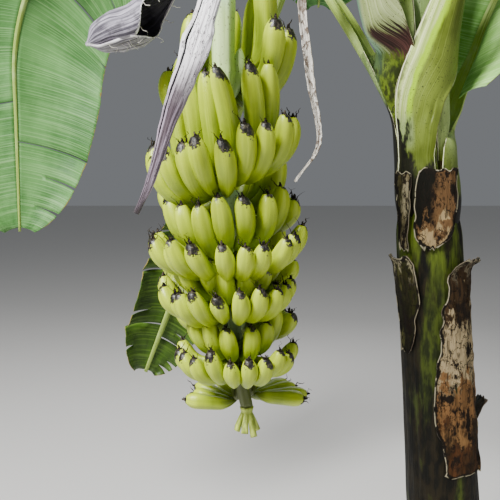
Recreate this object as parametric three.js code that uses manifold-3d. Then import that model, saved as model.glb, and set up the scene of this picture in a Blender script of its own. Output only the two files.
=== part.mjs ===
// A dwarf banana plant in fruit, in millimetres, +Z up, with its origin at the middle of the flat cut
// under the stem. -Y is the side on which the bunch hangs, in front of the stem and to its left.
// The pseudostem carries a spiral of leaf sheaths. Each sheath narrows into a channelled petiole, and each
// petiole into a midrib with a blade torn to the rib. The fruit stalk rises from the throat, arches over
// and hangs down as the axis of a bunch of nine hands of fingers.
import * as THREE from "three";
import Module from "manifold-3d";
import { mergeVertices } from "three/addons/utils/BufferGeometryUtils.js";

const wasm = await Module();
wasm.setup();

const { PI, sin, cos, exp, floor, abs, min, max, round } = Math;
const rad = THREE.MathUtils.degToRad;
const mix = THREE.MathUtils.lerp;
const smooth = THREE.MathUtils.smoothstep;
const vec = (x, y, z) => new THREE.Vector3(x, y, z);
const UP = vec(0, 0, 1);

// Gap between solids that touch on the plant.
const CLEAR = 0.35;

// Pseudostem: radius at the ground, its loss per mm of height, the root flare and the lean along X.
const STEM_RADIUS = 96;
const STEM_TAPER = 0.017;
const FLARE = 36;
const FLARE_HEIGHT = 90;
const STEM_LEAN = -0.0785;
const STEM_SIDES = 24;
// Above the throat the core narrows, and the sheaths of the living leaves stand round it.
const THROAT = 1560;
const STEM_TOP = 1760;
const CORE_RADIUS = 62;
const CORE_TOP_RADIUS = 32;

// Living leaves, oldest first: heading round the stem in degrees, height of the sheath's foot in mm, then
// the slopes in degrees of the petiole at its start, of the rib where the blade starts and of its tip.
// The blade has turned down by the share turn of its length, and has twisted by twist degrees halfway.
const LEAVES = [
  { name: "leaf_right_back", heading: 36, foot: 1562, lean: 71, rise: 72, fall: -64, turn: 1, twist: 0 },
  { name: "leaf_front_right", heading: 297, foot: 1580, lean: 79, rise: 66, fall: -46, turn: 1, twist: 0 },
  { name: "leaf_back_left", heading: 147, foot: 1568, lean: 61, rise: 53, fall: -90, turn: 0.74, twist: 42 },
  { name: "leaf_back", heading: 94, foot: 1616, lean: 80, rise: 60, fall: -60, turn: 1, twist: 0 },
  { name: "leaf_right", heading: 350, foot: 1634, lean: 89, rise: 66, fall: -50, turn: 1, twist: 0 },
  { name: "leaf_top", heading: 217, foot: 1582, lean: 63, rise: 75, fall: -6, turn: 1, twist: 0 },
  { name: "leaf_back_right", heading: 58, foot: 1668, lean: 84, rise: 72, fall: -22, turn: 1, twist: 0 },
  { name: "leaf_back_high", heading: 128, foot: 1690, lean: 84, rise: 75, fall: -12, turn: 1, twist: 0 },
  { name: "leaf_flag", heading: 184, foot: 1716, lean: 80, rise: -69, fall: -69, turn: 1, twist: 74 },
];
// Lengths and half width in mm, and the length over which the sheath narrows to a petiole. arch is the share
// of the petiole by which it has reached the slope rise, and peak the share of the blade where it is widest.
const LEAF_SIZES = {
  leaf_right_back: { sheath: 20, petiole: 100, blade: 1640, half: 310, narrows: 60 },
  leaf_front_right: { sheath: 130, petiole: 420, blade: 1420, half: 300, narrows: 260 },
  leaf_back_left: { sheath: 90, petiole: 440, blade: 1850, half: 320, narrows: 200 },
  leaf_back: { sheath: 130, petiole: 330, blade: 1480, half: 300, narrows: 220 },
  leaf_right: { sheath: 130, petiole: 420, blade: 1450, half: 290, narrows: 240 },
  leaf_top: { sheath: 50, petiole: 680, blade: 1080, half: 230, narrows: 560 },
  leaf_back_right: { sheath: 130, petiole: 470, blade: 1350, half: 260, narrows: 260 },
  leaf_back_high: { sheath: 130, petiole: 680, blade: 1250, half: 250, narrows: 480 },
  leaf_flag: { sheath: 160, petiole: 640, arch: 0.5, blade: 530, half: 82, peak: 0.66, narrows: 190 },
};

const SHEATH_THICK = 5.5;
const SHEATH_HALF_ANGLE = 66;
const BLADE_BEND = 1.2; // above 1 the blade turns down more towards its tip
const PETIOLE_RADIUS = 21;
const PETIOLE_THICK = 15;
const PETIOLE_HALF_ANGLE = 98;
const RIB_WIDTH = 15; // half width and depth of the midrib where the blade starts
const RIB_TIP_WIDTH = 4;
const STRIPS = 5; // leaflets between tears on each half of a blade
const HALF_STRIP = 3;
const HALFWAY = 0.56; // the blade is two solids, which meet here, at the tear of this number
const TEAR = 0.009; // width of a tear as a share of the blade's length
const STRIP_ROOT_THICK = 8;
const STRIP_EDGE_THICK = 4;

// Fruit stalk: it rises out of the throat, passes behind the top leaf, arches over and hangs to the bunch.
const STALK_RADIUS = 29;
const STALK_END_RADIUS = 23;
const STALK_RISE = [-152, 14, 1950];
const STALK_CREST = [-262, -16, 2122];
const STALK_OVER = [-420, -150, 2140];
const STALK_SIDES = 10;
// Axis of the bunch: its top, its foot and its radius there.
const BUNCH_TOP = [-549, -280, 1925];
const BUNCH_FOOT = [-508, -280, 1116];
const AXIS_SWING = 4.5; // above 1 the axis swings to the foot's side only low down
const AXIS_TOP_RADIUS = 23;
const AXIS_FOOT_RADIUS = 12;

// Hands of the bunch from the top: the height of the cushion, the way it faces and how far it reaches round
// in degrees, the radius at which its outer rank stands, a finger's width and length, the share of that
// length in the inner rank, how much the hand rises from side to side in mm a degree, and by how many mm it
// hangs in the middle.
const HANDS = [
  [1694, 70, 216, 121, 40, 212, 0.98, -0.34, 16],
  [1548, 262, 190, 130, 36, 214, 0.93, 0.33, 20],
  [1484, 84, 170, 141, 40, 194, 0.88, 0.1, 20],
  [1418, 266, 190, 141, 35, 190, 0.78, 0.06, 24],
  [1372, 90, 170, 138, 39, 180, 0.76, 0.1, 16],
  [1336, 262, 190, 128, 33, 174, 0.66, 0.02, 24],
  [1278, 84, 168, 126, 37, 164, 0.74, 0.1, 16],
  [1221, 268, 190, 111, 31, 158, 0.71, 0.02, 18],
  [1143, 90, 200, 106, 31, 132, 0.84, -0.05, 0],
].map(([height, facing, span, reach, wide, long, inner, tilt, sag]) => {
  return { height, facing, span, reach, wide, long, inner, tilt, sag };
});
const FAN_ROOT = 0.62; // fingers stand closer together on the cushion than at their tips
const FAN_OUT = 1.2;
const OUTER_SHARE = 0.84; // the outer rank's fingers are shorter
const LAST_DROOP = 74; // the last hand's fingers stand this many degrees lower
const LEAN = 0.13; // share of a finger's length by which its tip leans to one side
const FINGER_SIDES = 5;
const FINGER_FULL = 1.08; // a finger's corners stand out this much beyond the round one
const FINGER_STATIONS = [0, 0.28, 0.8, 1];
const CUSHION_DEEP = 0.6; // depth of the cushion in finger widths
const STUBS = 7;
const STUB_LONG = 44;

// Dry pieces that hang on the bunch: points along each, its half width and half thickness in the middle.
const DRY_BRACT = {
  points: [
    [-548, -304.4, 1942],
    [-556, -392, 1817],
    [-577, -465, 1714],
    [-616, -468, 1625],
    [-658, -452, 1526],
    [-681, -436, 1482],
  ],
  wide: 21,
  thick: 8,
};
const DRY_STRIP = {
  points: [
    [-525.6, -283, 1942],
    [-430, -318, 1905],
    [-412, -330, 1790],
    [-398, -330, 1690],
    [-384, -330, 1600],
    [-430, -425, 1532],
  ],
  wide: 7,
  thick: 3,
};
// A curled bract beside the bunch: points along it, each with its radius there.
const CURLED_BRACT = [
  [-574, -286, 1940, 5],
  [-618, -296, 1868, 6],
  [-655, -300, 1826, 26],
  [-695, -300, 1800, 36],
  [-742, -300, 1784, 33],
  [-784, -300, 1764, 17],
];
const CURL_HALF_ANGLE = 128;

// Dry sheath pieces on the stem: rows from the top with a height in mm, the headings in degrees between
// which the piece lies and how far it stands off the stem there.
const DRY_SHEATHS = [
  {
    name: "dry_sheath_upper",
    rows: [
      [1552, 246, 318, 0],
      [1505, 238, 312, 0],
      [1440, 235, 300, 1],
      [1408, 237, 288, 2],
      [1386, 252, 270, 4],
    ],
  },
  {
    name: "dry_sheath_strips",
    rows: [
      [1545, 196, 231, 0],
      [1470, 200, 228, 1],
      [1380, 206, 222, 5],
    ],
  },
  {
    name: "cut_sheath_hood",
    rows: [
      [1366, 176, 226, 13],
      [1350, 172, 234, 6],
      [1270, 180, 238, 0],
      [1158, 196, 216, 0],
    ],
  },
  {
    name: "dry_sheath_right",
    rows: [
      [1362, 304, 346, 16],
      [1330, 284, 350, 4],
      [1240, 270, 354, 0],
      [1130, 256, 358, 0],
      [1050, 250, 358, 0],
      [890, 262, 340, 0],
    ],
  },
  {
    name: "dry_flake",
    rows: [
      [1040, 2, 22, 26],
      [1010, 2, 26, 14],
      [985, 4, 26, 2],
      [948, 6, 18, 0],
    ],
  },
];
const DRY_THICK = 4;

// A repeatable number from -1 to 1 for a pair of whole numbers.
function wobble(a, b) {
  const s = sin(a * 12.9898 + b * 78.233) * 43758.5453;
  return 2 * (s - floor(s)) - 1;
}

// Closed surface through rings of equally many points, capped at both ends.
function loft(rings) {
  const n = rings[0].length;
  const positions = rings.flatMap((ring) => ring.flatMap((p) => [p.x, p.y, p.z]));
  const index = [];
  for (let i = 0; i < rings.length - 1; i++) {
    for (let j = 0; j < n; j++) {
      const a = i * n + j;
      const b = i * n + ((j + 1) % n);
      index.push(a, b, b + n, a, b + n, a + n);
    }
  }
  const last = (rings.length - 1) * n;
  const cap = (a, b, c) => index.push(a, c, b, last + a, last + b, last + c);
  for (let low = 0, high = n - 1; high - low >= 2; low++, high--) {
    cap(low, low + 1, high);
    if (high - low > 2) cap(low + 1, high - 1, high);
  }
  return indexed(positions, index);
}

function indexed(positions, index) {
  const geometry = new THREE.BufferGeometry();
  geometry.setAttribute("position", new THREE.Float32BufferAttribute(positions, 3));
  geometry.setIndex(index);
  return geometry;
}

// A closed geometry as a solid, with its faces turned outwards.
function solidOf(geometry) {
  const merged = mergeVertices(geometry, 1e-3);
  const vertProperties = merged.attributes.position.array;
  const triVerts = new Uint32Array(merged.index.array);
  const solid = new wasm.Manifold(new wasm.Mesh({ numProp: 3, vertProperties, triVerts }));
  if (solid.volume() > 0) return solid;
  triVerts.reverse();
  return new wasm.Manifold(new wasm.Mesh({ numProp: 3, vertProperties, triVerts }));
}

// The largest body of a solid as a geometry, which drops loose scraps left by a cut.
function geometryOf(solid) {
  const body = solid.decompose().sort((a, b) => b.volume() - a.volume())[0];
  const mesh = body.getMesh();
  const geometry = new THREE.BufferGeometry();
  geometry.setAttribute("position", new THREE.BufferAttribute(mesh.vertProperties, 3));
  geometry.setIndex(new THREE.BufferAttribute(mesh.triVerts, 1));
  return geometry;
}

const union = (solids) => solids.reduce((all, one) => all.add(one));

// Materials by the part of the plant.
const material = (color, roughness) => new THREE.MeshStandardMaterial({ color, roughness, metalness: 0 });
const MATERIALS = {
  stem: material(0x46502a, 0.6),
  petiole: material(0x9db04a, 0.45),
  blade: material(0x4f7a2c, 0.45),
  stalk: material(0x9fb568, 0.5),
  fruit: material(0xa9bd3e, 0.4),
  dry: material(0x8d7560, 0.85),
};

const plant = new THREE.Group();

function addNode(name, kind, solid) {
  const mesh = new THREE.Mesh(geometryOf(solid), MATERIALS[kind].clone());
  mesh.name = name;
  plant.add(mesh);
}

// Stem

const stemAxis = (z) => vec(STEM_LEAN * z, 0, z);
const stemRadius = (z) => STEM_RADIUS - STEM_TAPER * z + FLARE * exp(-z / FLARE_HEIGHT);
const coreRadius = (z) => mix(CORE_RADIUS, CORE_TOP_RADIUS, (z - THROAT) / (STEM_TOP - THROAT));
const heading = (degrees) => vec(cos(rad(degrees)), sin(rad(degrees)), 0);

const circle = (centre, r, sides) =>
  Array.from({ length: sides }, (_, i) => centre.clone().addScaledVector(heading((360 * i) / sides), r));

function stemSolid(grow) {
  const lower = [0, 25, 65, 130, 300, 800, THROAT - 8].map((z) => [z, stemRadius(z) + grow]);
  const upper = [THROAT - 1, STEM_TOP].map((z) => [z, coreRadius(z) + grow]);
  return solidOf(loft([...lower, ...upper].map(([z, r]) => circle(stemAxis(z), r, STEM_SIDES))));
}

// Leaves

// Points, tangents and lower-side normals along a leaf from the foot of its sheath.
const STEP = 10;
function leafLine(leaf) {
  const out = heading(leaf.heading);
  const across = vec(0, 0, 0).crossVectors(UP, out);
  const start = leaf.sheath + leaf.petiole;
  const line = [];
  const p = stemAxis(leaf.foot).addScaledVector(out, leaf.shell);
  const along = vec(STEM_LEAN, 0, 1).normalize();
  for (let s = 0; s <= start + leaf.blade + STEP; s += STEP) {
    const inPetiole = min(max((s - leaf.sheath) / leaf.petiole / (leaf.arch ?? 1), 0), 1);
    const inBlade = min(max((s - start) / leaf.blade, 0), 1);
    const turned = min(1, inBlade / leaf.turn) ** BLADE_BEND;
    const slope = rad(mix(mix(leaf.lean, leaf.rise, inPetiole), leaf.fall, turned));
    const free = vec(0, 0, sin(slope)).addScaledVector(out, cos(slope));
    const t = along.clone().lerp(free, smooth(s, leaf.sheath * 0.5, leaf.sheath * 1.4)).normalize();
    const side = across.clone().applyAxisAngle(t, rad(leaf.twist * smooth(inBlade, 0, 0.5)));
    const low = vec(0, 0, 0).crossVectors(side, t).normalize();
    line.push({ p: p.clone(), t, low, side });
    p.addScaledVector(t, STEP);
  }
  return line;
}

// The station at a length along a leaf, between the steps of its line.
function at(line, s) {
  const x = min(max(s / STEP, 0), line.length - 1.001);
  const a = line[floor(x)];
  const b = line[floor(x) + 1];
  const k = x - floor(x);
  const p = a.p.clone().lerp(b.p, k);
  const [t, low, side] = ["t", "low", "side"].map((key) => a[key].clone().lerp(b[key], k).normalize());
  return { p, t, low, side };
}

// A crescent: an arc of the outer radius round the station's centre, and back along a hollow inner arc.
function crescent(station, radius, thick, halfAngle, segments) {
  const centre = station.p.clone().addScaledVector(station.low, -radius);
  const arc = (r, i) => {
    const b = rad(halfAngle) * ((2 * i) / segments - 1);
    return centre.clone().addScaledVector(station.low, r * cos(b)).addScaledVector(station.side, r * sin(b));
  };
  const ring = [];
  for (let i = 0; i <= segments; i++) ring.push(arc(radius, i));
  for (let i = segments; i >= 0; i--) {
    const edge = abs((2 * i) / segments - 1);
    ring.push(arc(radius - thick * (1 - 0.7 * edge * edge), i));
  }
  return ring;
}

function petioleSolid(leaf, line, grow) {
  const end = leaf.sheath + leaf.petiole - CLEAR / 2;
  const count = max(4, round(end / 90));
  const rings = [];
  for (let i = 0; i <= count; i++) {
    const s = (end * i) / count;
    const k = smooth(s, leaf.sheath * 0.5, leaf.sheath + leaf.narrows);
    const radius = mix(leaf.shell, PETIOLE_RADIUS, k) + grow;
    const thick = mix(SHEATH_THICK, PETIOLE_THICK, k) + 2 * grow;
    const angle = mix(SHEATH_HALF_ANGLE, PETIOLE_HALF_ANGLE, k) + (grow / radius) * 60;
    const station = at(line, s);
    station.p.addScaledVector(station.low, grow);
    if (i === 0 || i === count) station.p.addScaledVector(station.t, i ? grow : -grow);
    rings.push(crescent(station, radius, thick, angle, 4));
  }
  return solidOf(loft(rings));
}

// Half width of a blade at a share u of its length.
function bladeHalf(leaf, u) {
  const peak = leaf.peak ?? 0.42;
  const x = (u - peak) / (u < peak ? peak : 1 - peak);
  return leaf.half * max(0.02, 1 - abs(x) ** 2.5) ** 0.55;
}

// Points along a vein from the rib to the margin, on the side 1 or -1. hang is how far it droops.
const VEIN_STEPS = 8;
function vein(leaf, line, u, side, hang) {
  const station = at(line, leaf.sheath + leaf.petiole + u * leaf.blade);
  const length = bladeHalf(leaf, u);
  const p = station.p.clone().addScaledVector(station.side, side * ribHalf(u));
  const points = [];
  for (let i = 0; i <= VEIN_STEPS; i++) {
    const q = i / VEIN_STEPS;
    const tilt = rad(mix(24, 8, u) - (26 + 30 * u) * q);
    const d = vec(0, 0, 0)
      .addScaledVector(station.side, side * cos(tilt))
      .addScaledVector(station.low, -sin(tilt))
      .addScaledVector(station.t, 0.16 + 0.3 * q)
      .addScaledVector(station.low, hang * q * max(0, -station.low.z))
      .normalize();
    const face = vec(0, 0, 0).crossVectors(station.t, d).multiplyScalar(side).normalize();
    points.push({ p: p.clone(), face });
    p.addScaledVector(d, length / VEIN_STEPS);
  }
  return points;
}

const ribHalf = (u) => mix(RIB_WIDTH, RIB_TIP_WIDTH, u ** 0.8);

// Leaflets on one side of a blade, as the shares of its length between which each one grows from the rib.
function leaflets(leaf, side) {
  const marks = [0.012];
  for (let i = 1; i < STRIPS; i++) {
    const tear = (i + 0.28 * wobble(leaf.number * 7 + i, side + 3)) / STRIPS;
    marks.push(i === HALF_STRIP ? HALFWAY : tear);
  }
  marks.push(0.994);
  return marks.slice(1).map((to, i) => ({
    from: marks[i] + TEAR / 2,
    to: to - TEAR / 2,
    side,
    hang: 0.55 + 0.45 * wobble(leaf.number * 11 + i, side * 5),
  }));
}

// One part of a blade as a single skin: a five-sided rib, from whose sides the leaflets grow.
function bladeSolid(leaf, line, from, to) {
  const positions = [];
  const index = [];
  const point = (p) => positions.push(p.x, p.y, p.z) / 3 - 1;
  const quad = (a, b, c, d) => index.push(a, b, c, a, c, d);
  const strips = [...leaflets(leaf, 1), ...leaflets(leaf, -1)].filter((s) => s.from > from && s.to < to);
  const gap = CLEAR / 2 / leaf.blade;
  const shares = [from + gap, to - gap, ...strips.flatMap((s) => [s.from, s.to])].sort((a, b) => a - b);
  // corners of the rib at each share: upper and lower on side 1, the keel, lower and upper on side -1
  const rib = shares.map((u) => {
    const station = at(line, leaf.sheath + leaf.petiole + u * leaf.blade);
    const w = ribHalf(u);
    const corner = (x, y) =>
      point(station.p.clone().addScaledVector(station.side, x).addScaledVector(station.low, y));
    const half = STRIP_ROOT_THICK / 2;
    return [corner(w, -half), corner(w, half), corner(0, w * 1.2), corner(-w, half), corner(-w, -half)];
  });
  for (let i = 0; i < shares.length - 1; i++) {
    const [a, b] = [rib[i], rib[i + 1]];
    const middle = (shares[i] + shares[i + 1]) / 2;
    const grown = (side) => strips.some((s) => s.side === side && s.from < middle && middle < s.to);
    if (!grown(1)) quad(a[0], a[1], b[1], b[0]);
    quad(a[1], a[2], b[2], b[1]);
    quad(a[2], a[3], b[3], b[2]);
    if (!grown(-1)) quad(a[3], a[4], b[4], b[3]);
    quad(a[4], a[0], b[0], b[4]);
  }
  const end = rib[rib.length - 1];
  for (const k of [1, 2, 3]) index.push(rib[0][0], rib[0][k + 1], rib[0][k], end[0], end[k], end[k + 1]);
  for (const strip of strips) {
    const first = shares.indexOf(strip.from);
    const last = shares.indexOf(strip.to);
    const roots = rib.slice(first, last + 1);
    const [upper, lower] = strip.side === 1 ? [0, 1] : [4, 3];
    // rings of four at the middle and at the margin: upper corners at both tears, then the lower ones
    const edges = [strip.from, strip.to].map((u) => vein(leaf, line, u, strip.side, strip.hang));
    const ring = (k) => {
      const thick = mix(STRIP_ROOT_THICK, STRIP_EDGE_THICK, k / VEIN_STEPS) / 2;
      const [a, b] = edges.map((edge) => edge[k]);
      return [a, b, b, a].map((e, i) => point(e.p.clone().addScaledVector(e.face, i < 2 ? thick : -thick)));
    };
    const [inner, outer] = [ring(VEIN_STEPS / 2), ring(VEIN_STEPS)];
    const turned = (...corners) => quad(...(strip.side === 1 ? corners.reverse() : corners));
    const triangle = (a, b, c) => index.push(a, ...(strip.side === 1 ? [c, b] : [b, c]));
    const turn = floor((roots.length - 1) / 2);
    roots.slice(1).forEach((root, i) => {
      const before = roots[i];
      const [a, d] = i < turn ? [inner[0], inner[3]] : [inner[1], inner[2]];
      triangle(before[upper], root[upper], a);
      triangle(root[lower], before[lower], d);
    });
    triangle(roots[turn][upper], inner[1], inner[0]);
    triangle(roots[turn][lower], inner[3], inner[2]);
    const [root, far] = [roots[0], roots[roots.length - 1]];
    turned(root[upper], inner[0], inner[3], root[lower]);
    turned(far[lower], inner[2], inner[1], far[upper]);
    // upper and lower faces are split along the same diagonal, so that a twisted leaflet keeps its thickness
    turned(inner[0], inner[1], outer[1], outer[0]);
    turned(inner[1], inner[2], outer[2], outer[1]);
    turned(inner[3], outer[3], outer[2], inner[2]);
    turned(inner[3], inner[0], outer[0], outer[3]);
    turned(outer[0], outer[1], outer[2], outer[3]);
  }
  return solidOf(indexed(positions, index));
}

addNode("pseudostem", "stem", stemSolid(0));
const thickStem = stemSolid(CLEAR);

let older = thickStem;
LEAVES.forEach((place, number) => {
  const leaf = { ...place, ...LEAF_SIZES[place.name], number };
  leaf.shell = coreRadius(leaf.foot) + CLEAR + SHEATH_THICK;
  const line = leafLine(leaf);
  addNode(leaf.name + "_petiole", "petiole", petioleSolid(leaf, line, 0).subtract(older));
  older = older.add(petioleSolid(leaf, line, CLEAR * 1.7));
  addNode(leaf.name + "_blade_inner", "blade", bladeSolid(leaf, line, 0, HALFWAY));
  addNode(leaf.name + "_blade_outer", "blade", bladeSolid(leaf, line, HALFWAY, 1));
});

// Fruit stalk and the axis of the bunch

// A limb or strip along a curve. size gives its half width and half thickness at a share of its length.
function limb(curve, from, to, steps, sides, across, size) {
  const rings = [];
  for (let i = 0; i <= steps; i++) {
    const k = mix(from, to, i / steps);
    const p = curve.getPointAt(k);
    const t = curve.getTangentAt(k);
    const n = vec(0, 0, 0).crossVectors(across, t).normalize();
    const b = vec(0, 0, 0).crossVectors(t, n);
    const [wide, thick] = size(k);
    rings.push(
      Array.from({ length: sides }, (_, j) => {
        const a = (2 * PI * j) / sides;
        return p.clone().addScaledVector(b, wide * cos(a)).addScaledVector(n, thick * sin(a));
      })
    );
  }
  return solidOf(loft(rings));
}

const bunchTop = vec(...BUNCH_TOP);
const bunchFoot = vec(...BUNCH_FOOT);
const stalkStart = stemAxis(STEM_TOP + CLEAR);
const stalkCurve = new THREE.CatmullRomCurve3(
  [
    stalkStart,
    vec(...STALK_RISE),
    vec(...STALK_CREST),
    vec(...STALK_OVER),
    bunchTop.clone().add(vec(8, 10, 105)),
    bunchTop,
  ],
  false,
  "centripetal"
);
const CREST_SHARE = 0.5;
const stalkAcross = vec(0, 0, 0).crossVectors(UP, bunchTop.clone().sub(stalkStart).setZ(0)).normalize();
const stalkSize = (k) => {
  const r = mix(STALK_RADIUS, STALK_END_RADIUS, k);
  return [r, r];
};
const joint = CLEAR / 2 / stalkCurve.getLength();
const stalkPiece = (from, to) => limb(stalkCurve, from, to, 7, STALK_SIDES, stalkAcross, stalkSize);
addNode("fruit_stalk_rise", "stalk", stalkPiece(0, CREST_SHARE - joint).subtract(older));

const axisShare = (z) => (z - bunchTop.z) / (bunchFoot.z - bunchTop.z);
const axisPoint = (z) => vec(mix(bunchTop.x, bunchFoot.x, axisShare(z) ** AXIS_SWING), bunchTop.y, z);
const axisRadius = (z) => mix(AXIS_TOP_RADIUS, AXIS_FOOT_RADIUS, axisShare(z));

function axisSolid(grow) {
  const heights = [0, 0.5, 0.75, 0.9, 1].map((k) => mix(bunchTop.z, bunchFoot.z, k));
  const rings = heights.map((z) => circle(axisPoint(z), axisRadius(z) + grow, STALK_SIDES));
  return solidOf(loft(rings));
}
const thickAxis = axisSolid(CLEAR);
addNode("fruit_stalk_fall", "stalk", stalkPiece(CREST_SHARE + joint, 1).subtract(thickAxis));
addNode("bunch_axis", "stalk", axisSolid(0));

// Fingers

// A finger's centre line in the plane of its own heading: it leaves the cushion, curves up and stands at
// the given reach. The bend is the sharper, the nearer it has to stand.
function fingerLine(length, start, end, reach) {
  const samples = 40;
  const trace = (sharp) => {
    const line = [[0, 0, start]];
    let x = 0;
    let z = 0;
    for (let i = 1; i <= samples; i++) {
      const t = (i - 0.5) / samples;
      const slope = start + (end - start) * (1 - (1 - t) ** sharp);
      x += (length / samples) * cos(slope);
      z += (length / samples) * sin(slope);
      line.push([x, z, slope]);
    }
    return line;
  };
  let low = 1;
  let high = 9;
  for (let i = 0; i < 24; i++) {
    const sharp = (low + high) / 2;
    if (trace(sharp)[samples][0] > reach) low = sharp;
    else high = sharp;
  }
  return trace((low + high) / 2);
}

// Thickness of a finger along its length: a stalk, a full belly and a short neck.
const fingerWidth = (t) =>
  t < 0.5 ? mix(0.38, 1, smooth(t, 0, 0.3)) : mix(1, 0.42, max(0, (t - 0.5) / 0.5) ** 5.5);

// How far a hand stands above its own height at an angle from its middle.
const rise = (hand, off) => hand.tilt * off + hand.sag * (((2 * off) / hand.span) ** 2 - 0.3);

// One hand's fingers: rank 0 is the outer and lower one, rank 1 the inner, which the last hand lacks.
function fingersOf(k) {
  const hand = HANDS[k];
  const droop = k === HANDS.length - 1 ? LAST_DROOP : 0;
  const deep = CUSHION_DEEP * hand.wide;
  const root = axisRadius(hand.height) + deep - 4;
  const fingers = [];
  for (const rank of k < HANDS.length - 1 ? [0, 1] : [0]) {
    const reach = hand.reach - rank * hand.wide * 0.98;
    const pitch = ((180 / PI) * hand.wide * (rank ? 1.14 : 1.05)) / reach;
    const count = floor(hand.span / pitch);
    for (let i = 0; i < count; i++) {
      const seed = k * 40 + rank * 20 + i;
      const off = (i - (count - 1) / 2) * pitch + 0.6 * wobble(seed, 1);
      fingers.push({
        stand: hand.facing + FAN_ROOT * off,
        heading: hand.facing + FAN_OUT * off + 4 * wobble(seed, 8),
        pitch,
        height: hand.height + rise(hand, off) + (rank ? 10 : -9) + 6 * wobble(seed, 2),
        root,
        reach: reach - root,
        long: hand.long * (rank ? hand.inner : OUTER_SHARE) * (1 + 0.07 * wobble(seed, 3)) - deep,
        wide: hand.wide,
        lean: LEAN + 0.07 * wobble(seed, 12),
        start: rad(rank ? -30 : -58),
        end: rad((rank ? 88 : 84) - droop + 5 * wobble(seed, 5)),
      });
    }
  }
  return fingers;
}

function fingerSolid(finger, grow) {
  const line = fingerLine(finger.long, finger.start, finger.end, finger.reach);
  const out = heading(finger.heading);
  const side = vec(0, 0, 0).crossVectors(UP, out);
  const base = axisPoint(finger.height).addScaledVector(heading(finger.stand), finger.root);
  const rings = FINGER_STATIONS.map((t) => {
    const [x, z, slope] = line[round(t * (line.length - 1))];
    const centre = base.clone().addScaledVector(out, x).addScaledVector(UP, z);
    centre.addScaledVector(side, -finger.lean * finger.long * t ** 1.5);
    const back = vec(0, 0, -cos(slope)).addScaledVector(out, sin(slope));
    const room = (FAN_ROOT * finger.root + FAN_OUT * x) * rad(finger.pitch) * 0.97;
    const r = min(FINGER_FULL * finger.wide * fingerWidth(t), room) / 2 + grow;
    return Array.from({ length: FINGER_SIDES }, (_, j) => {
      const a = (2 * PI * j) / FINGER_SIDES;
      return centre.clone().addScaledVector(back, r * cos(a)).addScaledVector(side, r * sin(a));
    });
  });
  return solidOf(loft(rings));
}

// The cushion that the fingers of a hand stand on: part of a ring round the axis.
function cushionSolid(k) {
  const { height, facing, span, wide } = HANDS[k];
  const half = span / 2;
  const segments = 4;
  const rings = [];
  for (let i = 0; i <= segments; i++) {
    const off = half * ((2 * i) / segments - 1);
    const out = heading(facing + FAN_ROOT * off);
    const tall = 0.58 * wide;
    const inner = axisRadius(height) - 3;
    const outer = axisRadius(height) + CUSHION_DEEP * wide;
    const middle = axisPoint(height).addScaledVector(UP, rise(HANDS[k], off));
    const corner = (r, z) => middle.clone().addScaledVector(out, r).addScaledVector(UP, z);
    rings.push([
      corner(inner, -tall * 0.9),
      corner(outer, -tall * 0.8),
      corner(outer, tall),
      corner(inner, tall * 1.3),
    ]);
  }
  return solidOf(loft(rings));
}

const grownHands = [];
HANDS.forEach((hand, k) => {
  const fingers = fingersOf(k);
  let solid = union([cushionSolid(k), ...fingers.map((finger) => fingerSolid(finger, 0))]);
  for (const other of [thickAxis, ...grownHands.slice(-2)]) solid = solid.subtract(other);
  addNode("hand_" + (k + 1), "fruit", solid);
  grownHands.push(union(fingers.map((finger) => fingerSolid(finger, CLEAR))));
});

// Cut stubs of the last small fingers, which flare from the foot of the axis.
function stubsSolid() {
  const top = bunchFoot.clone().addScaledVector(UP, -CLEAR);
  const plug = loft([0, -12].map((dz) => circle(top.clone().addScaledVector(UP, dz), 13 + dz / 4, 8)));
  const stubs = Array.from({ length: STUBS }, (_, i) => {
    const out = heading((360 * i) / STUBS + 8 * wobble(i, 9));
    const d = vec(0, 0, -0.93).addScaledVector(out, 0.37);
    const side = vec(0, 0, 0).crossVectors(UP, out);
    const face = vec(0, 0, 0).crossVectors(d, side);
    const ring = (s, r) => {
      const p = top.clone().addScaledVector(UP, -6).addScaledVector(out, 4.5).addScaledVector(d, s);
      return [[-1, -1], [1, -1], [1, 1], [-1, 1]].map(([a, b]) =>
        p.clone().addScaledVector(side, a * r * 0.7).addScaledVector(face, b * r * 0.7)
      );
    };
    return solidOf(loft([ring(0, 4), ring(STUB_LONG + 5 * wobble(i, 4), 6.5)]));
  });
  return union([solidOf(plug), ...stubs]);
}
addNode("bunch_tail_stubs", "fruit", stubsSolid());

// Dry bracts and strips on the bunch

function drySolid({ points, wide, thick }, across) {
  const curve = new THREE.CatmullRomCurve3(points.map((p) => vec(...p)), false, "centripetal");
  const size = (k) => {
    const w = 0.25 + 0.75 * smooth(k, 0.1, 0.32) * (1 - smooth(k, 0.45, 1));
    return [wide * w, thick * w];
  };
  return limb(curve, 0, 1, 8, 6, across, size);
}
addNode("dry_bract", "dry", drySolid(DRY_BRACT, vec(1, 0, 0)));
addNode("dry_strip", "dry", drySolid(DRY_STRIP, vec(1, 0, 0)));

function curledBract() {
  const points = CURLED_BRACT.map(([x, y, z]) => vec(x, y, z));
  const curve = new THREE.CatmullRomCurve3(points, false, "centripetal");
  const rings = CURLED_BRACT.map(([, , , radius], i) => {
    const t = curve.getTangent(i / (CURLED_BRACT.length - 1));
    const side = vec(0, 1, 0);
    const low = vec(0, 0, 0).crossVectors(side, t).normalize();
    const p = points[i].clone().addScaledVector(low, radius);
    return crescent({ p, t, low, side }, radius, min(radius * 0.9, 6), CURL_HALF_ANGLE, 7);
  });
  return solidOf(loft(rings));
}
addNode("curled_bract", "dry", curledBract());

// Dry sheath pieces on the stem

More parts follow.
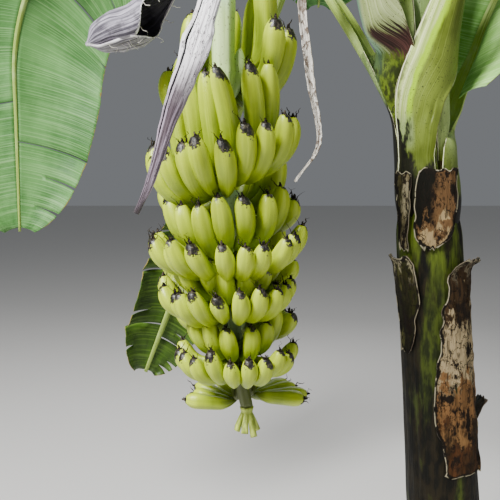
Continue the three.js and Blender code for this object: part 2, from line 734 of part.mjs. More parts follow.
function drySheath(rows) {
  const segments = 5;
  const rings = rows.map(([z, from, to, off]) => {
    const step = (to - from) / segments;
    const r = (stemRadius(z) + CLEAR + 0.2) / cos(rad(step / 2)) + off;
    const arc = (radius, i) => stemAxis(z).addScaledVector(heading(from + step * i), radius);
    const ring = [];
    for (let i = 0; i <= segments; i++) ring.push(arc(r + DRY_THICK, i));
    for (let i = segments; i >= 0; i--) ring.push(arc(r, i));
    return ring;
  });
  return solidOf(loft(rings));
}
DRY_SHEATHS.forEach(({ name, rows }) => addNode(name, "dry", drySheath(rows).subtract(thickStem)));

export default plant;
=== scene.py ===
import math
from types import SimpleNamespace

import bpy
import numpy as np
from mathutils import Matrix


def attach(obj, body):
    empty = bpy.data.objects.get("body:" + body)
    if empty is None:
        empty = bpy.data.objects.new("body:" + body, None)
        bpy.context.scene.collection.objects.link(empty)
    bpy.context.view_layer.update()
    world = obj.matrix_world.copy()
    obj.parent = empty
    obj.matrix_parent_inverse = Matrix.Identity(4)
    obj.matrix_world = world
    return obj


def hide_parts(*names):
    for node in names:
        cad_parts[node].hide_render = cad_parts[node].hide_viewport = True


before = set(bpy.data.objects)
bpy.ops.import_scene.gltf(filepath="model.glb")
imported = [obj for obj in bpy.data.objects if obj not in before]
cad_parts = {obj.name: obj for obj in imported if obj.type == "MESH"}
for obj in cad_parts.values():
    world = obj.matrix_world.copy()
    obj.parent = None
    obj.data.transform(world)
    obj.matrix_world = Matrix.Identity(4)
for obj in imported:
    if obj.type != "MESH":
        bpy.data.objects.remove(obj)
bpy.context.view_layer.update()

# A fruiting dwarf banana plant. Its lengths are in mm, and MM turns them into the frame's metres. Heights
# in the paints, the camera, the lights and the floor are in metres.
# The rules for leaves, stalk and fingers are those of the solids, carried to finer meshes.
MM = 0.001
UP = np.array([0.0, 0.0, 1.0])
AWAY = np.array([0.0, 1.0, 0.0])  # from the camera
TURN = 2 * math.pi
STEP = 10  # between the stations of a leaf's line


def table(fields, *rows):
    """Each row's values as an item with named fields."""
    return [SimpleNamespace(**dict(zip(fields.split(), row))) for row in rows]


# Pseudostem
STEM_RADIUS = 96
STEM_TAPER = 0.017
FLARE = 36
FLARE_HEIGHT = 90
STEM_LEAN = -0.0785
THROAT = 1560
STEM_TOP = 1760
CORE_RADIUS = 62
CORE_TOP_RADIUS = 32
CLEAR = 0.35

# Living leaves, oldest first, with angles in degrees. foot is the height of the sheath's foot. The slope is
# lean where the sheath ends, rise from the share arch of the petiole on, and fall from the share turn of the
# blade on. twist turns the blade about its rib. half is half its width, peak the share of its length where
# it is widest, and narrows the length over which the sheath narrows to a petiole.
LEAVES = table(
    "name heading foot lean rise fall turn twist sheath petiole arch blade half peak narrows",
    ("leaf_right_back", 36, 1562, 71, 72, -64, 1, 0, 20, 100, 1, 1640, 310, 0.42, 60),
    ("leaf_front_right", 297, 1580, 79, 66, -46, 1, 0, 130, 420, 1, 1420, 300, 0.42, 260),
    ("leaf_back_left", 147, 1568, 61, 53, -90, 0.74, 42, 90, 440, 1, 1850, 320, 0.42, 200),
    ("leaf_back", 94, 1616, 80, 60, -60, 1, 0, 130, 330, 1, 1480, 300, 0.42, 220),
    ("leaf_right", 350, 1634, 89, 66, -50, 1, 0, 130, 420, 1, 1450, 290, 0.42, 240),
    ("leaf_top", 217, 1582, 63, 75, -6, 1, 0, 50, 680, 1, 1080, 230, 0.42, 560),
    ("leaf_back_right", 58, 1668, 84, 72, -22, 1, 0, 130, 470, 1, 1350, 260, 0.42, 260),
    ("leaf_back_high", 128, 1690, 84, 75, -12, 1, 0, 130, 680, 1, 1250, 250, 0.42, 480),
    ("leaf_flag", 184, 1716, 80, -69, -69, 1, 74, 160, 640, 0.5, 530, 82, 0.66, 190),
)
SHEATH_THICK = 5.5
SHEATH_HALF_ANGLE = 66
BLADE_BEND = 1.2  # above 1 the blade turns down more towards its tip
PETIOLE_RADIUS = 21
PETIOLE_THICK = 15
PETIOLE_HALF_ANGLE = 98
RIB_WIDTH = 15  # half width and depth of the midrib where the blade starts
RIB_TIP_WIDTH = 4
STRIPS = 5  # leaflets between tears on each half of a blade
HALF_STRIP = 3  # the tear of this number stands at HALFWAY, where the blade's two solids meet
HALFWAY = 0.56

# Fruit stalk and bunch
STALK_RADIUS = 29
STALK_END_RADIUS = 23
STALK_POINTS = [[-152, 14, 1950], [-262, -16, 2122], [-420, -150, 2140]]
BUNCH_TOP = np.array([-549.0, -280, 1925])
BUNCH_FOOT = np.array([-508.0, -280, 1116])
AXIS_SWING = 4.5  # above 1 the axis swings to the foot's side only low down
AXIS_TOP_RADIUS = 23
AXIS_FOOT_RADIUS = 12
# Hands from the top. facing and span are in degrees round the axis, reach is the radius at which the outer
# rank stands, wide and long are a finger's, inner is the share of long in the inner rank, tilt is the rise
# from side to side in mm a degree, and sag is how far the hand hangs in the middle.
HANDS = table(
    "height facing span reach wide long inner tilt sag",
    (1694, 70, 216, 121, 40, 212, 0.98, -0.34, 16),
    (1548, 262, 190, 130, 36, 214, 0.93, 0.33, 20),
    (1484, 84, 170, 141, 40, 194, 0.88, 0.1, 20),
    (1418, 266, 190, 141, 35, 190, 0.78, 0.06, 24),
    (1372, 90, 170, 138, 39, 180, 0.76, 0.1, 16),
    (1336, 262, 190, 128, 33, 174, 0.66, 0.02, 24),
    (1278, 84, 168, 126, 37, 164, 0.74, 0.1, 16),
    (1221, 268, 190, 111, 31, 158, 0.71, 0.02, 18),
    (1143, 90, 200, 106, 31, 132, 0.84, -0.05, 0),
)
FAN_ROOT = 0.62  # fingers stand closer together on the cushion than at their tips
FAN_OUT = 1.2
OUTER_SHARE = 0.84  # the outer rank's fingers are shorter
LAST_DROOP = 74  # degrees by which the last hand's fingers end lower than the others'
LEAN = 0.13  # sideways lean of a finger's tip as a share of its length
CUSHION_DEEP = 0.6  # as a share of a finger's width
STUBS = 7
STUB_LONG = 44

# Dry pieces: places along the hanging ones, with the radius in the curled bract's fourth column
DRY_BRACT = [
    [-548, -304.4, 1942], [-556, -392, 1817], [-577, -465, 1714],
    [-616, -468, 1625], [-658, -452, 1526], [-681, -436, 1482],
]
BRACT_BOW = 13
DRY_STRIP = [
    [-525.6, -283, 1942], [-430, -318, 1905], [-412, -330, 1790],
    [-398, -330, 1690], [-384, -330, 1600], [-430, -425, 1532],
]
CURLED_BRACT = [
    [-574, -286, 1940, 5], [-618, -296, 1868, 6], [-655, -300, 1826, 11],
    [-695, -300, 1800, 35], [-742, -300, 1784, 34], [-784, -300, 1764, 20],
]
CURL_HALF_ANGLE = 186
CURL_MOUTH_ANGLE = 76
CURL_ROLL = 48
# Dry sheath pieces: the curl of the upper rim and the wrinkles in mm, the raggedness of the outline in
# degrees, and rows of height, from and to heading, and how far the piece stands off the stem
DRY_SHEATHS = table(
    "name curl wrinkle ragged rows",
    (
        "dry_sheath_upper", 0, 1.6, 3.5,
        [
            [1552, 246, 318, 0], [1505, 238, 312, 0], [1440, 235, 300, 1],
            [1408, 237, 288, 2], [1386, 252, 270, 4],
        ],
    ),
    ("dry_sheath_strips", 0, 1.2, 2.5, [[1545, 196, 231, 0], [1470, 200, 228, 1], [1380, 206, 222, 5]]),
    (
        "cut_sheath_hood", 1, 1.4, 2.5,
        [[1366, 176, 226, 13], [1350, 172, 234, 6], [1270, 180, 238, 0], [1158, 196, 216, 0]],
    ),
    (
        "dry_sheath_right", 9, 2.6, 4,
        [
            [1362, 304, 346, 16], [1330, 284, 350, 4], [1240, 270, 354, 0],
            [1130, 256, 358, 0], [1050, 250, 358, 0], [890, 262, 340, 0],
        ],
    ),
    ("dry_flake", 5, 1.2, 2, [[1040, 2, 22, 26], [1010, 2, 26, 14], [985, 4, 26, 2], [948, 6, 18, 0]]),
)

# Camera: where the photograph was taken from
CAMERA_PLACE = (-0.502, -1.58, 1.55)
CAMERA_PITCH = 6.3
CAMERA_FIELD = 38


# Numbers


def wobble(a, b):
    """A repeatable number from -1 to 1 for a pair of numbers, or an array of them."""
    s = np.sin(np.asarray(a, float) * 12.9898 + np.asarray(b, float) * 78.233) * 43758.5453
    return 2 * (s - np.floor(s)) - 1


def mix(a, b, k):
    return a + (b - a) * k


def smooth(x, low, high):
    k = np.clip((np.asarray(x, float) - low) / (high - low), 0, 1)
    return k * k * (3 - 2 * k)


def drift(x, y, seed):
    """Smooth repeatable noise from -1 to 1 over a plane."""
    x, y = np.broadcast_arrays(np.asarray(x, float), np.asarray(y, float))
    i, j = np.floor(x), np.floor(y)
    u, v = x - i, y - j
    u, v = u * u * (3 - 2 * u), v * v * (3 - 2 * v)

    def corner(a, b):
        return wobble(i + a + 17.3 * seed, j + b + 5.7 * seed)

    return mix(mix(corner(0, 0), corner(1, 0), u), mix(corner(0, 1), corner(1, 1), u), v)


def crossed(a, b):
    """Two grids of the same shape: a varies from row to row and b from column to column."""
    return np.meshgrid(a, b, indexing="ij")


def full_turn(count):
    return np.linspace(0, TURN, count, endpoint=False)


def unit(v):
    return v / np.linalg.norm(v, axis=-1, keepdims=True)


def heading(degrees):
    a = np.radians(degrees)
    return np.stack([np.cos(a), np.sin(a), np.zeros_like(a)], axis=-1)


def turned(v, axis, angle):
    """v turned about unit axes by an angle in radians, for arrays."""
    c, s = np.cos(angle)[..., None], np.sin(angle)[..., None]
    along = np.sum(v * axis, axis=-1, keepdims=True)
    return v * c + np.cross(axis, v) * s + axis * along * (1 - c)


def around(centre, first, second, angle, long, short):
    """Points on an ellipse round each centre, with half widths long and short along two directions."""
    x, y = (long * np.cos(angle))[..., None], (short * np.sin(angle))[..., None]
    return centre[..., None, :] + first[..., None, :] * x + second[..., None, :] * y


def summed(steps):
    """The running sum of steps, from 0 on."""
    return np.concatenate([[0], np.cumsum(steps)])


def looked_up(x, known, rows):
    """Rows of values at x, in proportion between those at the known places."""
    return np.stack([np.interp(x, known, column) for column in rows.T], axis=-1)


def between(x, low, high, a, b):
    """From a where x is low to b where it is high, in proportion."""
    return (high - x) / (high - low) * a + (x - low) / (high - low) * b


def spline(points, k):
    """Points at shares k of the length of a smooth curve, with its tangents."""
    p = np.asarray(points, float)
    knots = summed(np.linalg.norm(np.diff(p, axis=0), axis=1) ** 0.5)
    q = np.vstack([2 * p[0] - p[1], p, 2 * p[-1] - p[-2]])
    t = np.concatenate([[2 * knots[0] - knots[1]], knots, [2 * knots[-1] - knots[-2]]])
    dense = []
    for i in range(1, len(q) - 2):
        x = np.linspace(t[i], t[i + 1], 60, endpoint=i == len(q) - 3)[:, None]
        a1, a2, a3 = [between(x, t[j], t[j + 1], q[j], q[j + 1]) for j in (i - 1, i, i + 1)]
        b1 = between(x, t[i - 1], t[i + 1], a1, a2)
        b2 = between(x, t[i], t[i + 2], a2, a3)
        dense.append(between(x, t[i], t[i + 1], b1, b2))
    dense = np.vstack(dense)
    length = summed(np.linalg.norm(np.diff(dense, axis=0), axis=1))
    share = length / length[-1]
    return looked_up(k, share, dense), unit(looked_up(k, share, np.gradient(dense, share, axis=0)))


# Meshes


def shown(name, data):
    """A new object of the scene."""
    item = bpy.data.objects.new(name, data)
    bpy.context.scene.collection.objects.link(item)
    return item


class Piece:
    """A piece of the plant put together from surfaces. Its kinds pick the faces' materials, and its marks are
    numbers at each point that the materials read."""

    def __init__(self):
        self.points, self.faces, self.kinds = [], [], []
        self.marks = {"along": [], "across": [], "shade": [], "edge": []}
        self.count = 0

    def sheet(self, grid, kinds=0, keep=None, flip=False, wrap=False, **marks):
        """A surface over a grid of points of shape (rows, columns, 3). keep says which faces stay."""
        rows, columns = grid.shape[:2]
        i, j = crossed(np.arange(rows - 1), np.arange(columns if wrap else columns - 1))
        here, beside = i * columns + j, i * columns + (j + 1) % columns
        faces = np.stack([here, beside, beside + columns, here + columns], axis=-1) + self.count
        if flip:
            faces = faces[..., ::-1]
        keep = np.ones(i.shape, bool) if keep is None else keep
        self.points.append(grid.reshape(-1, 3))
        self.faces += faces[keep].tolist()
        self.kinds.append(np.broadcast_to(kinds, i.shape)[keep])
        for name, values in self.marks.items():
            values.append(np.broadcast_to(marks.get(name, 0.0), (rows, columns)).ravel())
        self.count += rows * columns
        return self

    def tube(self, grid, kinds=0, flip=False, end_kinds=(0, 0), **marks):
        """A closed tube through rings of points, shape (rings, around, 3), with flat or pointed ends."""
        n, first = grid.shape[1], self.count
        self.sheet(grid, kinds, flip=flip, wrap=True, **marks)
        last = self.count - n
        start, end = list(range(first, first + n)), list(range(last, last + n))
        self.faces += [start if flip else start[::-1], end[::-1] if flip else end]
        self.kinds.append(np.array(end_kinds))
        return self

    def build(self, name, materials, slot, *replaced, thick=0.0):
        """The finished object. thick, in mm, makes a sheet a wall, whose back takes the second material."""
        mesh = bpy.data.meshes.new(name)
        mesh.from_pydata((np.vstack(self.points) * MM).tolist(), [], self.faces)
        for material in materials:
            mesh.materials.append(material)
        mesh.polygons.foreach_set("material_index", np.concatenate(self.kinds).astype(np.int32))
        mesh.polygons.foreach_set("use_smooth", np.ones(len(mesh.polygons), bool))
        for mark, values in self.marks.items():
            attribute = mesh.attributes.new(mark, "FLOAT", "POINT")
            attribute.data.foreach_set("value", np.concatenate(values).astype(np.float32))
        mesh.update()
        piece = shown(name, mesh)
        if thick:
            wall = piece.modifiers.new("wall", "SOLIDIFY")
            wall.thickness = thick * MM
            wall.offset = 0
            wall.material_offset = 1
            wall.material_offset_rim = 1
        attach(piece, "root")
        if replaced:
            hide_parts(*replaced)


# Materials


def tone(code):
    """A colour written as six hexadecimal digits, as linear values."""
    values = [int(code[i : i + 2], 16) / 255 for i in (0, 2, 4)]
    return [v / 12.92 if v <= 0.04045 else ((v + 0.055) / 1.055) ** 2.4 for v in values] + [1.0]


class Paint:
    """A material and short ways to add its nodes."""

    def __init__(self, name, rough=0.5, **sockets):
        self.material = bpy.data.materials.new(name)
        self.material.use_nodes = True
        self.tree = self.material.node_tree
        self.shader = self.tree.nodes["Principled BSDF"]
        for key, value in {"Roughness": rough, **sockets}.items():
            self.link(value, self.shader.inputs[key.replace("_", " ")])

    def link(self, value, socket):
        """Joins a socket to a node's output, or sets it to a value or a colour's code."""
        if isinstance(value, bpy.types.NodeSocket):
            self.tree.links.new(value, socket)
        else:
            socket.default_value = tone(value) if isinstance(value, str) else value

    def node(self, kind, inputs, **settings):
        node = self.tree.nodes.new(kind)
        for key, value in settings.items():
            setattr(node, key, value)
        for key, value in inputs.items():
            self.link(value, node.inputs[key])
        return node

    def mark(self, name):
        return self.node("ShaderNodeAttribute", {}, attribute_name=name).outputs["Fac"]

    def place(self, stretch=(1, 1, 1)):
        """The place on the object in metres, with each axis scaled."""
        where = self.node("ShaderNodeTexCoord", {}).outputs["Object"]
        return self.node("ShaderNodeMapping", {"Vector": where, "Scale": stretch}).outputs["Vector"]

    def spot(self, axis):
        """The place on the object in metres along one axis."""
        return self.node("ShaderNodeSeparateXYZ", {"Vector": self.place()}).outputs[axis]

    def marks(self, along, across, shade):
        """A place on the piece's own surface from its three marks, each scaled."""
        scales = {"along": along, "across": across, "shade": shade}
        parts = [self.times(self.mark(name), scale) for name, scale in scales.items()]
        return self.node("ShaderNodeCombineXYZ", dict(zip("XYZ", parts))).outputs["Vector"]

    def noise(self, where, scale, detail=4, rough=0.55):
        values = {"Vector": where, "Scale": scale, "Detail": detail, "Roughness": rough}
        return self.node("ShaderNodeTexNoise", values).outputs["Fac"]

    def cloud(self, scale, detail=4, rough=0.55, tall=1):
        """Noise in space, drawn out upwards where tall is below 1."""
        return self.noise(self.place((1, 1, tall)), scale, detail, rough)

    def grain(self, along, across, shade, detail=4, rough=0.55):
        """Noise on the piece's own surface."""
        return self.noise(self.marks(along, across, shade), 1, detail, rough)

    def maths(self, operation, a, b=0):
        return self.node("ShaderNodeMath", {0: a, 1: b}, operation=operation).outputs["Value"]

    def plus(self, a, b):
        return self.maths("ADD", a, b)

    def times(self, first, *others):
        for other in others:
            first = self.maths("MULTIPLY", first, other)
        return first

    def shift(self, value, noise, by, middle=0):
        """value moved by noise: by says how far, and at the middle it isn't moved."""
        away = self.maths("SUBTRACT", noise, middle) if middle else noise
        return self.plus(value, self.times(away, by))

    def step(self, value, low, high, top=1):
        """A smooth step from 0 at low to top at high."""
        inputs = {"Value": value, "From Min": low, "From Max": high, "To Max": top}
        return self.node("ShaderNodeMapRange", inputs, interpolation_type="SMOOTHSTEP").outputs["Result"]

    def blend(self, share, a, b):
        return self.node("ShaderNodeMix", {"Factor": share, 6: a, 7: b}, data_type="RGBA").outputs[2]

    def coats(self, colour, *layers):
        """A colour with others over it, each with the share of it that shows or with a value and its step."""
        for over, value, *step in layers:
            colour = self.blend(self.step(value, *step) if step else value, colour, over)
        return colour

    def cracks(self, where, scale):
        """A net of thin crooked lines."""
        level = self.maths("ABSOLUTE", self.plus(self.noise(where, scale, 5, 0.6), -0.5))
        return self.step(level, 0.014, 0.005)

    def margin(self, colour):
        """A cream line with a dark one beside it along the right margin of a sheath."""
        across = self.mark("across")
        inner = self.step(across, 1.1, 1.05)
        dark = self.times(self.step(across, 0.93, 0.95), inner)
        cream = self.times(self.step(across, 0.965, 0.98), inner)
        return self.coats(colour, ("2c2a1a", dark), ("c9cea4", cream))

    def finish(self, colour, rough=None, height=None, deep=1.0):
        """Sets the colour, the roughness and a relief that is deep mm where height goes from 0 to 1."""
        self.link(colour, self.shader.inputs["Base Color"])
        if rough is not None:
            self.link(rough, self.shader.inputs["Roughness"])
        if height is not None:
            values = {"Height": height, "Distance": deep * MM, "Strength": 1}
            self.link(self.node("ShaderNodeBump", values).outputs["Normal"], self.shader.inputs["Normal"])
        return self.material


def mottled_paint(name, rough, low, high, scale, edges, deep, detail=4, stretch=(1, 1, 1), **sockets):
    """Two colours after one noise, which is the relief too."""
    p = Paint(name, rough, **sockets)
    patch = p.noise(p.place(stretch), scale, detail)
    return p.finish(p.coats(low, (high, patch, *edges)), None, patch, deep)


def peel_paint():
    """Green peel: paler and yellower towards the top as painted highlight, darker low on the belly near the
    root as painted shade, with lighter ridges and darker valleys that are painted highlight and shade, and
    fine flecks.
    """
    p = Paint("peel", 0.42, Specular_IOR_Level=0.45)
    along = p.mark("along")
    broad = p.noise(p.marks(3, 1, 9), 1.6, 3)
    streak = p.grain(2, 26, 9, 3)
    ridges = p.maths("COSINE", p.times(p.mark("across"), 5 * TURN))
    fleck = p.cloud(420, 2)
    patch = p.cloud(190)
    flecked = p.times(p.step(fleck, 0.66, 0.72), p.step(p.cloud(60, 3), 0.55, 0.68))
    colour = p.coats(
        "7a8f00",
        ("96aa0c", broad, 0.3, 0.7),
        # painted highlight: paler and yellower towards the finger's tip; painted shade: darker near the root
        ("adbf1c", along, 0.45, 0.95),
        ("4c5c04", along, 0.28, 0.02),
        ("bccd3c", streak, 0.52, 0.75, 0.35),
        # painted highlight along the ridge crests and painted shade in the valleys between them
        ("bccd38", ridges, 0.5, 1, 0.2),
        ("5e7006", ridges, -0.2, -1, 0.2),
        ("3d3a1c", flecked),
        (p.coats("120f0a", ("534d3c", patch, 0.5, 0.68)), p.shift(p.mark("edge"), patch, 0.2, 0.5), 0, 0.012),
    )
    return p.finish(colour, p.shift(0.3, broad, 0.2), p.plus(streak, fleck), 0.35)


def stalk_paint():
    """Fruit stalk: pale green with bluish pale patches above that are painted highlight, dark olive near its
    foot, with long furrows.
    """
    p = Paint("stalk_skin", 0.45, Specular_IOR_Level=0.45)
    furrows = p.noise(p.place((60, 60, 3)), 1)
    colour = p.coats(
        "93b162",
        ("c3dc97", furrows, 0.35, 0.65),
        # painted highlight: bluish pale patches
        ("bfe0b4", p.cloud(9, 3), 0.5, 0.7, 0.6),
        ("4a521c", p.spot("Z"), 1.32, 1.18),
        ("3c3a22", p.cloud(240, 2), 0.62, 0.7, 0.7),
    )
    return p.finish(colour, None, furrows, 1.0)


def blade_paint(name, low, high, vein, sheen):
    """A leaf's face: fine veins side by side from the rib to the margin, and a thin dry edge."""
    p = Paint(name, 0.5, Specular_IOR_Level=0.2, Sheen_Weight=sheen, Sheen_Roughness=0.5)
    veins = p.grain(240, 0.7, 3, 2)
    edge = p.shift(p.mark("across"), p.grain(30, 0, 3), 0.09)
    colour = p.coats(
        low,
        (high, p.noise(p.marks(5, 1.5, 3), 1.3), 0.32, 0.68),
        (vein, veins, 0.45, 0.7, 0.45),
        ("8a7a3c", edge, 1.035, 1.05),
    )
    return p.finish(colour, None, veins, 1.6)


def rib_paint():
    """Petioles and midribs: waxy pale green with long lines."""
    p = Paint("petiole_skin", 0.45, Specular_IOR_Level=0.3)
    lines = p.grain(1.5, 34, 5)
    colour = p.coats("74892e", ("9db35c", lines, 0.35, 0.65), ("abbf80", p.cloud(14), 0.45, 0.7, 0.6))
    return p.finish(colour, None, lines, 0.7)


def sheath_paint(name, body, bloom, low, dark=1.63):
    """A living sheath: waxy bloom over green, dark mottling towards its foot, black specks. dark is the
    height in metres below which it is blackish."""
    p = Paint(name, 0.5, Specular_IOR_Level=0.25)
    lines = p.grain(3, 30, 5)
    patch = p.cloud(16, 5, tall=0.45)
    foot = p.shift(p.spot("Z"), p.cloud(22, 5, tall=0.5), 0.22)
    specks = p.times(p.step(p.cloud(330, 2), 0.62, 0.68), p.step(patch, 0.35, 0.5))
    colour = p.coats(
        body,
        (bloom, patch, 0.36, 0.6),
        ("7c8a3c", lines, 0.5, 0.75, 0.35),
        (low, foot, 1.83, 1.66),
        ("14120c", foot, dark + 0.03, dark - 0.03),
        ("26241a", specks),
    )
    return p.finish(p.margin(colour), p.shift(0.3, patch, 0.3), lines, 0.8)


def olive_paint():
    """The front sheath: cream along its left margin, then a painted highlight as a bright stripe along the
    ridge, olive beyond, a painted highlight low near its left margin, dark at its foot.
    """
    p = Paint("sheath_olive", 0.5, Specular_IOR_Level=0.2)
    lines = p.grain(2, 26, 5)
    patch = p.cloud(15, 5, tall=0.45)
    fine = p.cloud(46, 5, tall=0.4)
    height, edge = p.spot("Z"), p.mark("edge")
    inward = p.shift(edge, fine, 0.012, 0.5)
    foot = p.shift(height, fine, 0.24, 0.5)
    left = p.step(p.shift(edge, fine, 0.07, 0.5), 0.036, 0.024)
    # painted highlight: a pale patch near the left margin, low on the sheath
    painted_highlight = p.times(p.step(height, 1.58, 1.62), p.step(height, 1.68, 1.64), p.step(inward, 0.05, 0.035, 0.4))
    olive = p.coats("46520f", ("68772a", patch, 0.36, 0.62), ("87944a", lines, 0.5, 0.75, 0.35))
    wing = p.coats(
        "94a852",
        ("ccd696", lines, 0.4, 0.65),
        # painted highlight: a bright yellow-green stripe along the ridge at the wing's inner edge
        ("90b404", inward, 0.024, 0.031),
        (olive, inward, 0.036, 0.044),
    )
    colour = p.coats(
        olive,
        (wing, height, 1.63, 1.69),
        ("a9bc88", painted_highlight),
        ("12110b", p.times(p.step(foot, 1.655, 1.63), left)),
        ("1b1a10", foot, 1.575, 1.54),
        ("2a2a16", p.times(p.step(p.cloud(300, 2), 0.63, 0.69), p.step(patch, 0.42, 0.55))),
        ("2a2a16", p.times(p.step(edge, 0.016, 0.006), p.step(fine, 0.5, 0.58, 0.7))),
        ("dfe3bb", edge, 0.0048, 0.0042),
        ("37301f", edge, 0.0024, 0.0018),
    )
    return p.finish(colour, p.shift(0.27, patch, 0.3), lines, 0.8)


def scorched_paint():
    """The left sheath: bluish green along its left, cream above with a brown feathered scorch, olive and
    specked below it."""
    p = Paint("sheath_scorched", 0.5, Specular_IOR_Level=0.2)
    lines = p.grain(3, 30, 5)
    fine = p.cloud(60, 5, tall=0.5)
    streaks = p.grain(10, 30, 2, 5, 0.7)
    along, across = p.mark("along"), p.mark("across")
    level = p.shift(along, streaks, 0.11, 0.5)
    left = (p.shift(across, fine, 0.3), -0.05, -0.4)
    cream = p.coats("96a663", ("c2cd94", lines, 0.35, 0.65), ("74a08c", *left, 0.85))
    olive = p.coats("262e08", ("62761a", fine, 0.38, 0.6), ("405640", *left, 0.7))
    brown = p.coats("24120f", ("55332e", streaks, 0.4, 0.62))
    scorch = p.times(p.step(level, 0.215, 0.232), p.step(level, 0.285, 0.268), p.step(across, -0.35, -0.1))
    colour = p.coats(
        olive,
        (cream, level, 0.225, 0.25),
        (brown, scorch),
        ("1d1f0d", p.times(p.step(fine, 0.54, 0.62), p.step(along, 0.24, 0.2, 0.85))),
        ("26241a", p.cloud(280, 2), 0.64, 0.7),
    )
    return p.finish(p.margin(colour), None, lines, 0.8)


def stem_paint():
    """Pseudostem: dark green mottled with brown and black, greener near the throat, dry and brown at one
    side, and black behind where the living sheaths end."""
    p = Paint("stem_skin", 0.55, Specular_IOR_Level=0.15)
    patch = p.cloud(18, 6, 0.6, tall=0.22)
    fine = p.cloud(70, 5, tall=0.35)
    lines = p.grain(1.2, 70, 1)
    height = p.spot("Z")
    level = p.shift(height, patch, 0.3)
    green = p.coats("20260c", ("434e18", fine, 0.38, 0.62), ("5c6c1c", level, 1.38, 1.6))
    dark = p.coats("0d0c07", ("231d10", fine, 0.4, 0.6))
    behind = p.times(p.step(p.mark("across"), 0.56, 0.44), p.step(level, 1.46, 1.56))
    colour = p.coats(
        green,
        (dark, p.plus(patch, p.step(height, 1.5, 0.9, 0.14)), 0.46, 0.58),
        ("3a2c1a", p.shift(p.cloud(9, 5, tall=0.2), p.spot("X"), 0.9), 0.52, 0.62),
        ("4a4524", lines, 0.6, 0.8, 0.3),
        ("12110b", behind),
    )
    return p.finish(colour, p.shift(0.4, patch, 0.4), p.plus(lines, fine), 2.2)


def dry_paint(name, dark, mid, pale, share=0.5):
    """Dry papery tissue: fibres along the piece, with darker stains."""
    p = Paint(name, 0.75, Sheen_Weight=0.15, Sheen_Roughness=0.5)
    fibres = p.grain(3, 38, 7, 5)
    stains = p.cloud(24, 5, 0.6, tall=0.6)
    colour = p.coats(mid, (pale, fibres, 0.35, 0.7), (dark, stains, share, share + 0.12))
    return p.finish(colour, None, p.plus(fibres, stains), 1.6)


def strip_paint():
    """The thin scaly strip: pale, with brown specks in rows across it."""
    p = Paint("strip_skin", 0.8, Specular_IOR_Level=0.2)
    rows = p.grain(55, 1.2, 1, 3)
    fibres = p.grain(4, 9, 1)
    colour = p.coats(
        "a29a8c",
        ("eae6de", fibres, 0.38, 0.64),
        ("4d3a2a", rows, 0.5, 0.58, 0.85),
        ("77685a", p.cloud(30, 3), 0.56, 0.64, 0.6),
    )
    return p.finish(colour, None, p.plus(rows, fibres), 2.0)


def cup_paint(name, body, light, rim):
    """A face of the cupped bract, with a pale frayed rim."""
    p = Paint(name, 0.6, Sheen_Weight=0.15, Sheen_Roughness=0.4)
    fibres = p.grain(3, 26, 7, 5)
    stains = p.cloud(40)
    colour = p.coats(
        body,
        (light, fibres, 0.36, 0.66),
        ("2a252c", stains, 0.52, 0.66, 0.6),
        (rim, p.shift(p.mark("edge"), fibres, 0.012, 0.5), 0.0042, 0.002),
    )
    return p.finish(colour, None, p.plus(fibres, stains), 2.0)


def paper_paint(name, tan, rust, pale, bands=(), hollow=None):
    """An old sheath dried to paper: tan and rusty patches, black stains, fine cracks and a frayed pale rim.
    bands are heights in metres and the colour above each, and hollow is the height above which its left part
    is painted near black as the shade in the hollow under its rim."""
    p = Paint(name, 0.85, Specular_IOR_Level=0.15)
    fibres = p.grain(6, 44, 7, 5)
    stains = p.cloud(38, 6, 0.65, tall=0.55)
    level = p.shift(p.spot("Z"), stains, 0.4, 0.5)
    colour = p.coats(
        tan,
        (rust, p.cloud(13, 4, 0.6, tall=0.5), 0.42, 0.56),
        (pale, p.cloud(21, 5, tall=0.35), 0.55, 0.62),
        *[(band, level, above - 0.012, above + 0.012) for above, band in bands],
        ("4a3824", fibres, 0.5, 0.66, 0.55),
        ("1c140d", stains, 0.53, 0.6),
        ("1a130e", p.cloud(130, tall=0.4), 0.54, 0.64, 0.7),
    )
    if hollow:
        # painted shade: near black over the left part above the hollow's height
        left = p.step(p.shift(p.mark("across"), stains, 1.6, 0.5), 1, 0.7)
        colour = p.coats(colour, ("12110b", p.times(left, p.step(level, hollow - 0.02, hollow))))
    edge = p.mark("edge")
    colour = p.coats(
        colour,
        ("1a130d", p.cracks(p.place((1, 1, 0.7)), 30)),
        ("17120c", p.shift(edge, stains, 0.03, 0.5), 0.007, 0.004),
        ("a89f84", p.times(p.step(edge, 0.0026, 0.0012), p.step(stains, 0.46, 0.5))),
    )
    return p.finish(colour, None, p.plus(fibres, stains), 3.0)


def bract_paint():
    """Outside of the rolled bract: nearly white above, greyish purple and stained below."""
    p = Paint("bract_skin", 0.6, Sheen_Weight=0.2, Sheen_Roughness=0.4)
    fibres = p.grain(2.5, 16, 7, 5)
    stains = p.grain(9, 2.5, 7)
    down = p.shift(p.mark("along"), stains, 0.3)
    colour = p.coats(
        "d6d0d4",
        ("ffffff", fibres, 0.35, 0.65),
        (p.coats("45363f", ("a090a0", fibres, 0.4, 0.62)), down, 0.55, 0.85),
        ("2f2428", down, 1.02, 1.16),
        ("5a4d54", p.grain(2, 22, 2), 0.6, 0.68, 0.6),
        ("8a7f84", stains, 0.62, 0.7, 0.35),
        ("3a3036", p.cracks(p.marks(6, 7, 2), 1.4)),
    )
    return p.finish(colour, None, p.plus(fibres, stains), 2.6)


# Stem


def stem_axis(z):
    return np.stack([STEM_LEAN * z, 0 * z, z], axis=-1)


def stem_radius(z):
    return STEM_RADIUS - STEM_TAPER * z + FLARE * np.exp(-z / FLARE_HEIGHT)


def core_radius(z):
    return mix(CORE_RADIUS, CORE_TOP_RADIUS, (z - THROAT) / (STEM_TOP - THROAT))


